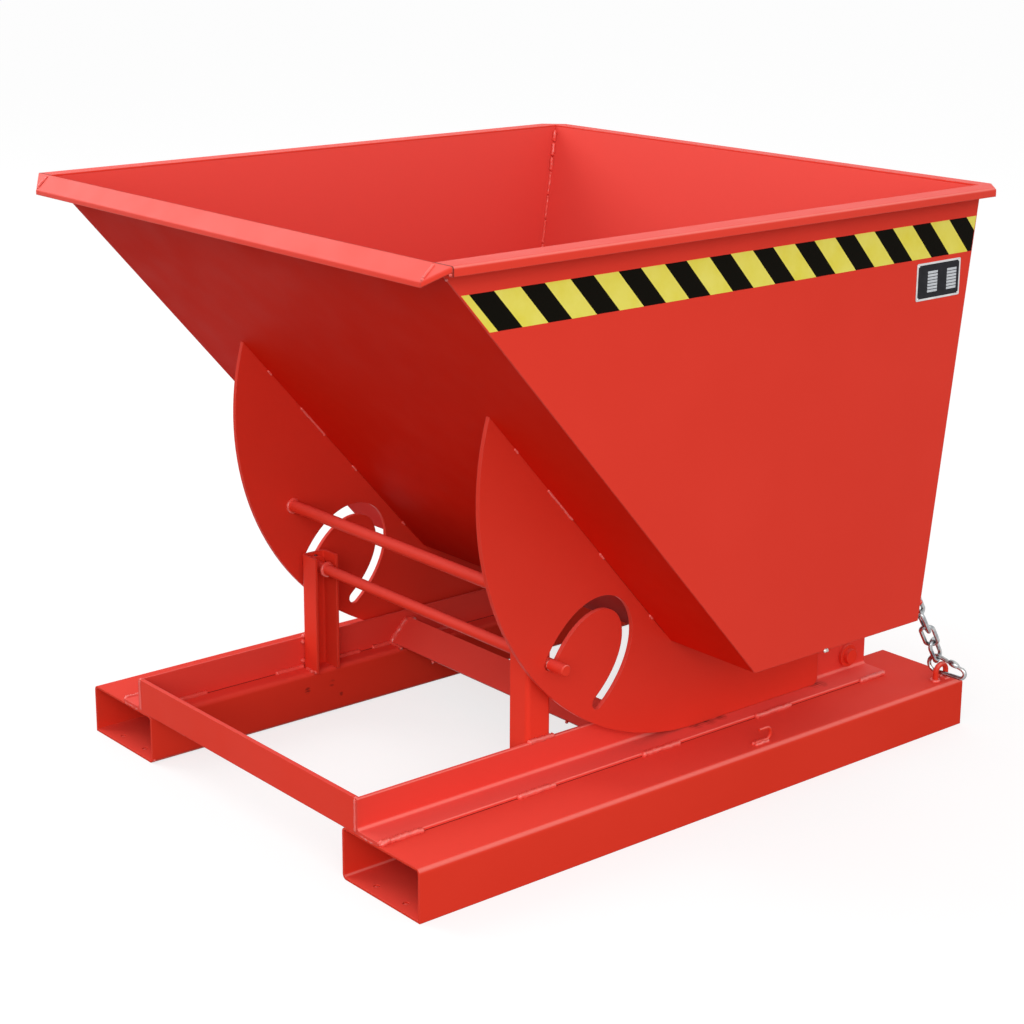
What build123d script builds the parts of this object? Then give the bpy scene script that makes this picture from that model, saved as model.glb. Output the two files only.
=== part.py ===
from build123d import *
import os
from math import asin, cos, radians, sin, sqrt, tan

# Rolling tipping hopper: a welded sheet tub on two curved cam plates, which roll forward
# along rails on a fork pocket base. X is the viewer's right when facing the pouring front,
# Y runs from the pouring front to the rear and Z is up. The origin lies on the floor under the
# middle of the overall length and width. Sizes are in millimetres. Places along the base are
# measured from the rear or front ends of the fork pockets, or from the rear ends of the rails.

# Fork pockets
BASE_LENGTH = 1275.0
POCKET_WIDTH = 200.0
POCKET_HEIGHT = 90.0
POCKET_WALL = 4.0
POCKET_CORNER = 9.0
POCKET_GAP = 580.0
DRAIN_DIAMETER = 10.0
DRAIN_SETBACK = 21.0
DRAIN_SPACING = 76.0

# Rails, the rolling track: equal angles welded on the pockets
ANGLE_LEG = 60.0
ANGLE_THICK = 6.0
ANGLE_ROOT = 7.0
ANGLE_TOE = 3.0
RAIL_INSET = 35.0
RAIL_LENGTH = 1180.0
RAIL_FROM_REAR = 95.0

# Cross members of the base
FRONT_BAR_THICK = 8.0
CROSS_ANGLE_FROM_RAIL_END = 580.0

# Posts that carry the guide shaft
POST_DEPTH = 52.0
POST_FLANGE = 45.0
POST_WALL = 5.0
POST_BEND = 8.0
POST_HEAD = 24.0

# Cam plates and the guide shaft in their slots
CAM_RADIUS = 489.5
CAM_THICK = 8.0
CAM_SIDE_GAP = 11.5
CAM_HEEL = 312.0
CAM_HEEL_CORNER = 12.0
ROLL_GAP = 0.4
CONTACT_FROM_RAIL_END = 462.5
TIP_ANGLE = 80.0
PIN_AHEAD = 339.0
PIN_RISE = 193.5
SHAFT_DIAMETER = 20.0
SHAFT_OVERHANG = 41.0
SHAFT_CHAMFER = 1.5
SLOT_CLEARANCE = 1.6
SLOT_STEPS = 14
COLLAR_DIAMETER = 36.0
COLLAR_WIDTH = 10.0
FIT_GAP = 0.05
TIE_BAR_DIAMETER = 22.0
TIE_BAR_AHEAD = 369.0
TIE_BAR_BELOW = 182.0
CONTACT_FILM = 0.2
CONTACT_LENGTH = 24.0

# Tub
TUB_WIDTH = 1098.0
SHEET = 3.0
FLOOR_RISE = 171.0
TUB_DEPTH = 760.0
FLOOR_AHEAD = 64.5
FLOOR_LENGTH = 409.0
FRONT_REACH = 668.0
REAR_REACH = 103.0

# Rim and pouring lip
RIM_WIDTH = 38.0
REAR_RIM_WIDTH = 30.0
RIM_DROP = 15.0
RIM_CORNER_CUT = 38.0
LIP_WIDTH = 36.0
LIP_ANGLE = 42.0
LIP_DROP = 8.0
FOLD_RADIUS = 5.0

# Data plate on the right side wall
PLATE_LENGTH = 112.0
PLATE_HEIGHT = 64.0
PLATE_THICK = 1.2
PLATE_CORNER = 3.0
PLATE_FROM_REAR_EDGE = 20.0
PLATE_BELOW_RIM = 119.0

# Rear latch
LATCH_FROM_RAIL_END = 50.0
LATCH_ABOVE_TRACK = 28.0
LATCH_SHAFT_DIAMETER = 28.0
LATCH_SHAFT_PROUD = 8.0
LATCH_RUNNING_GAP = 0.08
LATCH_COLLAR_DIAMETER = 43.0
LATCH_COLLAR_WIDTH = 6.0
LATCH_SIDE_GAP = 0.5
HOOK_THICK = 12.0
HOOK_BOSS_RADIUS = 25.0
HOOK_ARM_WIDTH = 32.0
HOOK_NOSE_HEIGHT = 18.0
HOOK_NOSE_REACH = 18.0
HOOK_CLEARANCE = 1.5
CATCH_DIAMETER = 14.0
CATCH_RISE = 33.0
CATCH_REACH = 36.0
CATCH_WIDTH = 70.0
CATCH_BEND = 12.0
LEVER_DIAMETER = 16.0
LEVER_LENGTH = 470.0
LEVER_OFFSET = 60.0
LEVER_BOSS_DIAMETER = 46.0
LEVER_BOSS_WIDTH = 24.0
GRIP_DIAMETER = 28.0
GRIP_LENGTH = 120.0

# Securing chain, its snap hook and the eyes that hold them
EYE_BAR = 10.0
EYE_SPREAD = 28.0
EYE_HEIGHT = 30.0
EYE_FROM_REAR = 38.0
EYE_INSET = 22.0
PARK_BAR = 6.0
PARK_LENGTH = 38.0
PARK_HEIGHT = 22.0
PARK_FROM_FRONT = 743.0
PARK_INSET = 20.0
LINK_WIRE = 8.0
LINK_INSIDE = 52.0
LINK_INSIDE_WIDTH = 14.5
LINK_PLAY = 0.8
LINK_COUNT = 4
ANCHOR_BAR = 8.0
ANCHOR_SPREAD = 34.0
ANCHOR_INSET = 49.5
ANCHOR_REACH = 47.5
SNAP_WIRE = 8.0
SNAP_LENGTH = 80.0
SNAP_WIDE_RADIUS = 15.0
SNAP_NARROW_RADIUS = 9.0
SNAP_SEAT = 10.0
SNAP_SEAT_HEIGHT = 14.0
SNAP_SLOPE = 12.0
SNAP_HEADING = 15.0
GATE_WIRE = 7.0
GATE_LENGTH = 31.0
GATE_GAP = 0.6
GATE_SEAT = 1.3
GATE_PLAY = 0.15

# Places that follow from the sizes above
SLOPE_LENGTH = sqrt(FRONT_REACH ** 2 + TUB_DEPTH ** 2)
BACK_LENGTH = sqrt(REAR_REACH ** 2 + TUB_DEPTH ** 2)
LIP_FROM_FLOOR = FRONT_REACH - SHEET * SLOPE_LENGTH / TUB_DEPTH + LIP_WIDTH * cos(radians(LIP_ANGLE))
LIP_FROM_REAR = LIP_FROM_FLOOR + FLOOR_AHEAD + CONTACT_FROM_RAIL_END + RAIL_FROM_REAR
OVERALL_LENGTH = max(LIP_FROM_REAR, BASE_LENGTH)
REAR = OVERALL_LENGTH / 2
FRONT = REAR - BASE_LENGTH
RAIL_END = REAR - RAIL_FROM_REAR
RAIL_FRONT = RAIL_END - RAIL_LENGTH
POCKET_INNER = POCKET_GAP / 2
POCKET_OUTER = POCKET_INNER + POCKET_WIDTH
RAIL_INNER = POCKET_INNER + RAIL_INSET
RAIL_OUTER = RAIL_INNER + ANGLE_THICK
TRACK_Z = POCKET_HEIGHT + ANGLE_THICK
RAIL_TOP = POCKET_HEIGHT + ANGLE_LEG
CAM_INNER = RAIL_OUTER + CAM_SIDE_GAP
CAM_OUTER = CAM_INNER + CAM_THICK
CAM_Y = RAIL_END - CONTACT_FROM_RAIL_END
CAM_Z = TRACK_Z + ROLL_GAP + CAM_RADIUS
PIN_Y = CAM_Y - PIN_AHEAD
PIN_Z = TRACK_Z + PIN_RISE
FLOOR_Z = TRACK_Z + FLOOR_RISE
RIM_Z = FLOOR_Z + TUB_DEPTH
WALL_X = TUB_WIDTH / 2
FLOOR_Y0 = CAM_Y - FLOOR_AHEAD
FLOOR_Y1 = FLOOR_Y0 + FLOOR_LENGTH
WALL_TOP_Y0 = FLOOR_Y0 - FRONT_REACH
WALL_TOP_Y1 = FLOOR_Y1 + REAR_REACH
LATCH_Y = RAIL_END - LATCH_FROM_RAIL_END
LATCH_Z = TRACK_Z + LATCH_ABOVE_TRACK


def along_x(sketch, x_from, x_to):
    """Extrude a sketch drawn in (Y, Z) between two X planes."""
    plane = Plane(origin=(x_from, 0, 0), x_dir=(0, 1, 0), z_dir=(1, 0, 0))
    return extrude(plane * sketch, amount=x_to - x_from)


def along_y(sketch, y_from, y_to):
    """Extrude a sketch drawn in (X, Z) between two Y planes."""
    plane = Plane(origin=(0, y_to, 0), x_dir=(1, 0, 0), z_dir=(0, -1, 0))
    return extrude(plane * sketch, amount=y_to - y_from)


def along_z(sketch, z_from, z_to):
    """Extrude a sketch drawn in (X, Y) between two Z planes."""
    return extrude(Plane.XY.offset(z_from) * sketch, amount=z_to - z_from)


def outline(*points):
    """Closed face through points given in order."""
    return make_face(Polyline(*points, close=True))


def round_bar_x(diameter, x_from, x_to, y, z):
    """Round bar along X."""
    return along_x(Pos(y, z) * Circle(diameter / 2), x_from, x_to)


def corner_near(sketch, x, y):
    """The sketch corner nearest to a point."""
    return sketch.vertices().sort_by_distance((x, y, 0))[0]


def bent_bar(points, bends, diameter):
    """Round bar bent along straight runs."""
    path = FilletPolyline(*points, radius=bends)
    return sweep(Plane(path @ 0, z_dir=path % 0) * Circle(diameter / 2), path=path)


def both_sides(part):
    """A right-hand piece and its left-hand mirror image."""
    return part, mirror(part, about=Plane.YZ)


# Fork pockets: folded sheet tubes, open at both ends, with drain holes near the front
def pocket_outline(inset, radius):
    """Pocket outline set in from the outside: three folded corners and a welded one below."""
    left, right = POCKET_INNER + inset, POCKET_OUTER - inset
    low, high = inset, POCKET_HEIGHT - inset
    shape = outline((left, low), (right, low), (right, high), (left, high))
    for corner in ((left, low), (left, high), (right, high)):
        shape = fillet(corner_near(shape, *corner), radius)
    return shape


def fork_pocket():
    outer = pocket_outline(0, POCKET_CORNER)
    inner = pocket_outline(POCKET_WALL, POCKET_CORNER - POCKET_WALL)
    tube = along_y(outer - inner, FRONT, REAR)
    for side in (-1, 1):
        x = POCKET_INNER + POCKET_WIDTH / 2 + side * DRAIN_SPACING / 2
        drain = Pos(x, FRONT + DRAIN_SETBACK) * Circle(DRAIN_DIAMETER / 2)
        tube -= along_z(drain, -POCKET_WALL, 2 * POCKET_WALL)
    return tube


# Rails: rolled angles, the flat leg is the track and the upright leg guides the cam plates
def rail():
    section = outline(
        (RAIL_INNER, POCKET_HEIGHT),
        (RAIL_INNER + ANGLE_LEG, POCKET_HEIGHT),
        (RAIL_INNER + ANGLE_LEG, TRACK_Z),
        (RAIL_OUTER, TRACK_Z),
        (RAIL_OUTER, RAIL_TOP),
        (RAIL_INNER, RAIL_TOP),
    )
    section = fillet(corner_near(section, RAIL_OUTER, TRACK_Z), ANGLE_ROOT)
    section = fillet(corner_near(section, RAIL_INNER + ANGLE_LEG, TRACK_Z), ANGLE_TOE)
    section = fillet(corner_near(section, RAIL_OUTER, RAIL_TOP), ANGLE_TOE)
    bar = along_y(section, RAIL_FRONT, RAIL_END)
    bearing = LATCH_SHAFT_DIAMETER + 2 * LATCH_RUNNING_GAP
    return bar - round_bar_x(bearing, RAIL_INNER - 1, RAIL_OUTER + 1, LATCH_Y, LATCH_Z)


def front_bar():
    middle_z = POCKET_HEIGHT + ANGLE_LEG / 2
    section = Pos(RAIL_FRONT + FRONT_BAR_THICK / 2, middle_z) * Rectangle(FRONT_BAR_THICK, ANGLE_LEG)
    return along_x(section, -RAIL_INNER, RAIL_INNER)


# Cross angle: laid ridge up with both toes on the pockets
def cross_angle():
    section = outline(
        (0, 0),
        (ANGLE_LEG, 0),
        (ANGLE_LEG, ANGLE_THICK),
        (ANGLE_THICK, ANGLE_THICK),
        (ANGLE_THICK, ANGLE_LEG),
        (0, ANGLE_LEG),
    )
    section = fillet(corner_near(section, ANGLE_THICK, ANGLE_THICK), ANGLE_ROOT)
    ridge_z = POCKET_HEIGHT + (ANGLE_LEG + ANGLE_THICK) * sin(radians(45))
    ridge = Pos(RAIL_END - CROSS_ANGLE_FROM_RAIL_END, ridge_z) * Rot(0, 0, -135)
    return along_x(ridge * section, -RAIL_INNER, RAIL_INNER)


# Posts: channels with the web against the rail and the flanges towards the middle
def post():
    middle_x = RAIL_INNER - POST_FLANGE / 2
    outer = Pos(middle_x, PIN_Y) * Rectangle(POST_FLANGE, POST_DEPTH)
    for side in (-1, 1):
        outer = fillet(corner_near(outer, RAIL_INNER, PIN_Y + side * POST_DEPTH / 2), POST_BEND)
    inner = Pos(middle_x - POST_WALL, PIN_Y) * Rectangle(POST_FLANGE, POST_DEPTH - 2 * POST_WALL)
    for side in (-1, 1):
        inside_corner = PIN_Y + side * (POST_DEPTH / 2 - POST_WALL)
        inner = fillet(corner_near(inner, RAIL_INNER - POST_WALL, inside_corner), POST_BEND - POST_WALL)
    channel = along_z(outer - inner, POCKET_HEIGHT, PIN_Z + POST_HEAD)
    seat = SHAFT_DIAMETER + 2 * FIT_GAP
    return channel - round_bar_x(seat, RAIL_INNER - 2 * POST_WALL, RAIL_INNER + 1, PIN_Y, PIN_Z)


def guide_shaft():
    end = CAM_OUTER + SHAFT_OVERHANG
    shaft = round_bar_x(SHAFT_DIAMETER, -end, end, PIN_Y, PIN_Z)
    return chamfer(shaft.edges().filter_by(GeomType.CIRCLE), SHAFT_CHAMFER)


def shaft_collar():
    outer_x = RAIL_INNER - POST_WALL
    ring = Circle(COLLAR_DIAMETER / 2) - Circle(SHAFT_DIAMETER / 2 + FIT_GAP)
    return along_x(Pos(PIN_Y, PIN_Z) * ring, outer_x - COLLAR_WIDTH, outer_x)


# Guide slot: where the fixed pin passes through the plate while the cam rolls on the track
def slot_point(turn, offset):
    """Point of the slot at a tip angle, set off square to the slot's middle line."""
    rolled = CAM_RADIUS * turn - PIN_AHEAD
    drop = PIN_Z - CAM_Z
    y = CAM_Y + rolled * cos(turn) + drop * sin(turn)
    z = CAM_Z - rolled * sin(turn) + drop * cos(turn)
    dy = CAM_RADIUS * cos(turn) - rolled * sin(turn) + drop * cos(turn)
    dz = -CAM_RADIUS * sin(turn) - rolled * cos(turn) - drop * sin(turn)
    speed = sqrt(dy * dy + dz * dz)
    return (y - offset * dz / speed, z + offset * dy / speed)


def guide_slot():
    half = SHAFT_DIAMETER / 2 + SLOT_CLEARANCE
    turns = [radians(TIP_ANGLE) * step / SLOT_STEPS for step in range(SLOT_STEPS + 1)]
    one_side = [slot_point(turn, half) for turn in turns]
    other_side = [slot_point(turn, -half) for turn in turns]
    ends = [Pos(*slot_point(turn, 0)) * Circle(half) for turn in (turns[0], turns[-1])]
    border = [
        Spline(*one_side),
        Line(one_side[-1], other_side[-1]),
        Spline(*other_side),
        Line(other_side[0], one_side[0]),
    ]
    return make_face(border) + ends


# Cam plates: rolling arc from the sloped wall to the track, then a straight heel
def cam_plate():
    slope_y = FRONT_REACH / SLOPE_LENGTH
    slope_z = TUB_DEPTH / SLOPE_LENGTH
    to_wall_y = FLOOR_Y0 - CAM_Y
    to_wall_z = FLOOR_Z - CAM_Z
    along = to_wall_z * slope_z - to_wall_y * slope_y
    across = to_wall_y * slope_z + to_wall_z * slope_y
    run = sqrt(CAM_RADIUS ** 2 - across ** 2) - along
    tip = (FLOOR_Y0 - run * slope_y, FLOOR_Z + run * slope_z)
    lowest = (CAM_Y, CAM_Z - CAM_RADIUS)
    heel_y = CAM_Y + CAM_HEEL
    halfway = radians(45)
    belly = (CAM_Y - CAM_RADIUS * cos(halfway), CAM_Z - CAM_RADIUS * sin(halfway))
    border = [
        ThreePointArc(tip, belly, lowest),
        Line(lowest, (heel_y, lowest[1])),
        Line((heel_y, lowest[1]), (heel_y, FLOOR_Z)),
        Line((heel_y, FLOOR_Z), (FLOOR_Y0, FLOOR_Z)),
        Line((FLOOR_Y0, FLOOR_Z), tip),
    ]
    plate = make_face(border)
    plate = fillet(corner_near(plate, heel_y, lowest[1]), CAM_HEEL_CORNER)
    return along_x(plate - guide_slot(), CAM_INNER, CAM_OUTER)


def tie_bar():
    return round_bar_x(
        TIE_BAR_DIAMETER, -CAM_INNER, CAM_INNER, CAM_Y - TIE_BAR_AHEAD, CAM_Z - TIE_BAR_BELOW
    )


# Line of contact between cam and track, which travels forward without turning
def contact_line():
    low = TRACK_Z + (ROLL_GAP - CONTACT_FILM) / 2
    section = Pos(CAM_Y, low + CONTACT_FILM / 2) * Rectangle(CONTACT_LENGTH, CONTACT_FILM)
    return along_x(section, CAM_INNER, CAM_OUTER)


# Tub sheets, mitred where they meet along the floor's two bends
INNER_TOP_Y0 = WALL_TOP_Y0 + SHEET * SLOPE_LENGTH / TUB_DEPTH
INNER_TOP_Y1 = WALL_TOP_Y1 - SHEET * BACK_LENGTH / TUB_DEPTH
INNER_FLOOR_Y0 = FLOOR_Y0 + SHEET * (SLOPE_LENGTH - FRONT_REACH) / TUB_DEPTH
INNER_FLOOR_Y1 = FLOOR_Y1 - SHEET * (BACK_LENGTH - REAR_REACH) / TUB_DEPTH
INNER_X = WALL_X - SHEET

# The lip folds outward from the sloped wall's top edge
LIP_START = (INNER_TOP_Y0, RIM_Z)
LIP_EDGE = (
    LIP_START[0] - LIP_WIDTH * cos(radians(LIP_ANGLE)),
    LIP_START[1] - LIP_WIDTH * sin(radians(LIP_ANGLE)),
)
LIP_UNDER = SHEET / cos(radians(LIP_ANGLE))
LIP_FOLD = SHEET * tan(radians(45 - LIP_ANGLE / 2))
WALL_STEEPNESS = TUB_DEPTH / FRONT_REACH
LIP_STEEPNESS = tan(radians(LIP_ANGLE))
MITRE_RUN = (
    LIP_UNDER - LIP_STEEPNESS * (WALL_TOP_Y0 - LIP_START[0])
) / (WALL_STEEPNESS + LIP_STEEPNESS)
LIP_MITRE = (WALL_TOP_Y0 + MITRE_RUN, RIM_Z - WALL_STEEPNESS * MITRE_RUN)


def front_wall():
    section = outline(LIP_START, LIP_MITRE, (FLOOR_Y0, FLOOR_Z), (INNER_FLOOR_Y0, FLOOR_Z + SHEET))
    return along_x(section, -INNER_X, INNER_X)


def floor_sheet():
    section = outline(
        (FLOOR_Y0, FLOOR_Z),
        (FLOOR_Y1, FLOOR_Z),
        (INNER_FLOOR_Y1, FLOOR_Z + SHEET),
        (INNER_FLOOR_Y0, FLOOR_Z + SHEET),
    )
    return along_x(section, -INNER_X, INNER_X)


def rear_wall():
    under_rim = RIM_Z - SHEET
    lean = REAR_REACH / TUB_DEPTH
    section = outline(
        (FLOOR_Y1, FLOOR_Z),
        (WALL_TOP_Y1 - SHEET * lean, under_rim),
        (INNER_TOP_Y1 - SHEET * lean, under_rim),
        (INNER_FLOOR_Y1, FLOOR_Z + SHEET),
    )
    return along_x(section, -INNER_X, INNER_X)


def side_wall():
    under_rim = RIM_Z - SHEET
    lean = REAR_REACH / TUB_DEPTH
    section = outline(
        LIP_MITRE,
        (FLOOR_Y0, FLOOR_Z),
        (FLOOR_Y1, FLOOR_Z),
        (WALL_TOP_Y1 - SHEET * lean, under_rim),
        (LIP_START[0], under_rim),
    )
    return along_x(section, INNER_X, WALL_X)


# Rim: a flat flange with a turned-down edge round both sides and the rear
def rim():
    side_x = WALL_X + RIM_WIDTH
    rear_y = WALL_TOP_Y1 + REAR_RIM_WIDTH
    front_y = LIP_START[0]
    border = outline(
        (-side_x, front_y),
        (side_x, front_y),
        (side_x, rear_y - RIM_CORNER_CUT),
        (side_x - RIM_CORNER_CUT, rear_y),
        (RIM_CORNER_CUT - side_x, rear_y),
        (-side_x, rear_y - RIM_CORNER_CUT),
    )
    corner = SHEET * tan(radians(22.5))
    within = outline(
        (SHEET - side_x, front_y - SHEET),
        (side_x - SHEET, front_y - SHEET),
        (side_x - SHEET, rear_y - RIM_CORNER_CUT - corner),
        (side_x - RIM_CORNER_CUT - corner, rear_y - SHEET),
        (RIM_CORNER_CUT + corner - side_x, rear_y - SHEET),
        (SHEET - side_x, rear_y - RIM_CORNER_CUT - corner),
    )
    inner_y = WALL_TOP_Y1 - SHEET
    mouth = outline(
        (-INNER_X, front_y - SHEET), (INNER_X, front_y - SHEET), (INNER_X, inner_y), (-INNER_X, inner_y)
    )
    flange = along_z(border - mouth, RIM_Z - SHEET, RIM_Z)
    edge = along_z(border - within, RIM_Z - RIM_DROP, RIM_Z - SHEET)
    whole = flange + edge
    folds = [
        fold
        for fold in whole.edges().filter_by_position(Axis.Z, RIM_Z, RIM_Z)
        if fold.center().Y > front_y + SHEET
        and (abs(fold.center().X) > WALL_X or fold.center().Y > WALL_TOP_Y1)
    ]
    whole = fillet(folds, FOLD_RADIUS)
    reach = TUB_WIDTH
    behind = outline(
        (-INNER_X, inner_y), (INNER_X, inner_y), (INNER_X + reach, inner_y + reach), (-INNER_X - reach, inner_y + reach)
    )
    rear_zone = along_z(behind, 0, 2 * RIM_Z)
    right_zone = Pos(reach, inner_y, RIM_Z) * Box(2 * reach, 4 * reach, 2 * RIM_Z)
    right = (whole - rear_zone) & right_zone
    return whole & rear_zone, right


def pouring_lip():
    section = outline(
        LIP_START,
        LIP_EDGE,
        (LIP_EDGE[0], LIP_EDGE[1] - LIP_DROP),
        (LIP_EDGE[0] + SHEET, LIP_EDGE[1] - LIP_DROP),
        (LIP_EDGE[0] + SHEET, LIP_EDGE[1] - LIP_FOLD),
        LIP_MITRE,
    )
    section = fillet(corner_near(section, *LIP_EDGE), FOLD_RADIUS)
    return along_x(section, -WALL_X, WALL_X)


# Lip ends: three-cornered caps between the lip and the side rims, open underneath
def lip_end():
    inner_top = Vector(WALL_X, LIP_START[0], LIP_START[1])
    lower = Vector(WALL_X, LIP_EDGE[0], LIP_EDGE[1])
    outer_top = Vector(WALL_X + RIM_WIDTH, LIP_START[0], LIP_START[1])
    down = Vector(0, 0, -1)
    cap = extrude(make_face(Polyline(inner_top, lower, outer_top, close=True)), amount=LIP_DROP, dir=down)
    cap = fillet(cap.edges().sort_by_distance((lower + outer_top) * 0.5)[0], FOLD_RADIUS)
    edge = (outer_top - lower).normalized()
    inward = Vector(0, 0, 1).cross(edge).normalized() * SHEET
    drop = down * (SHEET / cos(radians(LIP_ANGLE)))
    hollow = make_face(
        Polyline(
            inner_top + drop,
            lower + inward + drop,
            outer_top + inward + drop,
            close=True,
        )
    )
    return cap - extrude(hollow, amount=LIP_DROP, dir=down)


def data_plate():
    rear_edge = FLOOR_Y1 + REAR_REACH * (TUB_DEPTH - PLATE_BELOW_RIM - PLATE_HEIGHT) / TUB_DEPTH
    middle_y = rear_edge - PLATE_FROM_REAR_EDGE - PLATE_LENGTH / 2
    middle_z = RIM_Z - PLATE_BELOW_RIM - PLATE_HEIGHT / 2
    face = RectangleRounded(PLATE_LENGTH, PLATE_HEIGHT, PLATE_CORNER)
    return along_x(Pos(middle_y, middle_z) * face, WALL_X, WALL_X + PLATE_THICK)


# Rear latch: a hook on a shaft across the rails holds a catch on the tub until it is pulled back
CATCH_Z = FLOOR_Z + CATCH_RISE
CATCH_WALL_Y = FLOOR_Y1 + REAR_REACH * CATCH_RISE / TUB_DEPTH
CATCH_Y = CATCH_WALL_Y + CATCH_REACH


def latch_catch():
    half = CATCH_WIDTH / 2
    inside = CATCH_WALL_Y - CATCH_DIAMETER
    staple = bent_bar(
        [(-half, inside, CATCH_Z), (-half, CATCH_Y, CATCH_Z), (half, CATCH_Y, CATCH_Z), (half, inside, CATCH_Z)],
        CATCH_BEND,
        CATCH_DIAMETER,
    )
    return staple - tub_side_of_rear_wall()


def tub_side_of_rear_wall():
    """Everything in front of the rear wall's outer face."""
    lean = REAR_REACH / TUB_DEPTH
    section = outline(
        (FLOOR_Y1 - lean * FLOOR_Z, 0),
        (FLOOR_Y1 - lean * FLOOR_Z - TUB_WIDTH, 0),
        (WALL_TOP_Y1 - TUB_WIDTH, RIM_Z),
        (WALL_TOP_Y1, RIM_Z),
    )
    return along_x(section, -TUB_WIDTH, TUB_WIDTH)


def latch_shaft():
    end = RAIL_OUTER + LATCH_SIDE_GAP + LATCH_COLLAR_WIDTH + LATCH_SHAFT_PROUD
    return round_bar_x(LATCH_SHAFT_DIAMETER, -end, end, LATCH_Y, LATCH_Z)


def latch_collar():
    inner = RAIL_OUTER + LATCH_SIDE_GAP
    ring = Circle(LATCH_COLLAR_DIAMETER / 2) - Circle(LATCH_SHAFT_DIAMETER / 2 + FIT_GAP)
    return along_x(Pos(LATCH_Y, LATCH_Z) * ring, inner, inner + LATCH_COLLAR_WIDTH)


def latch_hook():
    bar_front = CATCH_Y + CATCH_DIAMETER / 2 + HOOK_CLEARANCE
    nose_under = CATCH_Z + CATCH_DIAMETER / 2 + HOOK_CLEARANCE
    nose_top = nose_under + HOOK_NOSE_HEIGHT
    nose_tip = CATCH_Y - HOOK_NOSE_REACH
    half = HOOK_ARM_WIDTH / 2
    arm = outline(
        (LATCH_Y - half, LATCH_Z),
        (bar_front, CATCH_Z - CATCH_DIAMETER),
        (bar_front, nose_under),
        (nose_tip, nose_under),
        (nose_tip, nose_under + HOOK_NOSE_HEIGHT / 2),
        (nose_tip + HOOK_NOSE_HEIGHT / 2, nose_top),
        (bar_front + HOOK_ARM_WIDTH / 2, nose_top),
        (bar_front + HOOK_ARM_WIDTH, nose_under),
        (LATCH_Y + half, LATCH_Z),
    )
    boss = Pos(LATCH_Y, LATCH_Z) * Circle(HOOK_BOSS_RADIUS)
    bore = Pos(LATCH_Y, LATCH_Z) * Circle(LATCH_SHAFT_DIAMETER / 2 + FIT_GAP)
    return along_x(arm + boss - bore, -HOOK_THICK / 2, HOOK_THICK / 2)


def lever_frame():
    """Frame at the latch shaft whose Z axis runs up the release lever."""
    return Pos(LEVER_OFFSET, LATCH_Y, LATCH_Z)


def latch_lever():
    boss_ring = Circle(LEVER_BOSS_DIAMETER / 2) - Circle(LATCH_SHAFT_DIAMETER / 2 + FIT_GAP)
    x = LEVER_OFFSET
    half = LEVER_BOSS_WIDTH / 2
    boss = along_x(Pos(LATCH_Y, LATCH_Z) * boss_ring, x - half, x + half)
    start = LATCH_SHAFT_DIAMETER / 2 + FIT_GAP
    rod = lever_frame() * Pos(0, 0, start) * Cylinder(
        LEVER_DIAMETER / 2, LEVER_LENGTH - start, align=(Align.CENTER, Align.CENTER, Align.MIN)
    )
    clear = round_bar_x(2 * start, x - half, x + half, LATCH_Y, LATCH_Z)
    return boss + (rod - clear)


def lever_grip():
    start = LEVER_LENGTH - GRIP_LENGTH
    sleeve = Circle(GRIP_DIAMETER / 2) - Circle(LEVER_DIAMETER / 2 + FIT_GAP)
    tube = lever_frame() * Pos(0, 0, start) * extrude(sleeve, amount=GRIP_LENGTH + 2 * FIT_GAP)
    lid = lever_frame() * Pos(0, 0, LEVER_LENGTH + FIT_GAP) * Cylinder(
        GRIP_DIAMETER / 2, GRIP_DIAMETER / 4, align=(Align.CENTER, Align.CENTER, Align.MIN)
    )
    return tube + lid


# Securing eye at the rear of the right pocket, and the clip that parks the chain's hook
EYE_X = POCKET_OUTER - EYE_INSET
EYE_Y = REAR - EYE_FROM_REAR
EYE_TOP = POCKET_HEIGHT + EYE_HEIGHT


def securing_eye():
    half = EYE_SPREAD / 2
    points = [
        (EYE_X, EYE_Y - half, POCKET_HEIGHT),
        (EYE_X, EYE_Y - half, EYE_TOP),
        (EYE_X, EYE_Y + half, EYE_TOP),
        (EYE_X, EYE_Y + half, POCKET_HEIGHT),
    ]
    return bent_bar(points, half - FIT_GAP, EYE_BAR)


def park_clip():
    x = POCKET_OUTER - PARK_INSET
    y = FRONT + PARK_FROM_FRONT
    low = POCKET_HEIGHT + PARK_BAR / 2
    points = [
        (x, y, low),
        (x, y + PARK_LENGTH, low),
        (x, y + PARK_LENGTH, low + PARK_HEIGHT),
        (x, y + PARK_LENGTH / 4, low + PARK_HEIGHT),
    ]
    return bent_bar(points, PARK_HEIGHT / 2 - FIT_GAP, PARK_BAR)


# Snap hook: a pear-shaped ring that lies in the eye by its lower side, wide end to the chain
def direction(slope, heading):
    """Unit vector rising at a slope, at a heading from X towards Y."""
    level = cos(radians(slope))
    return Vector(level * cos(radians(heading)), level * sin(radians(heading)), sin(radians(slope)))


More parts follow.
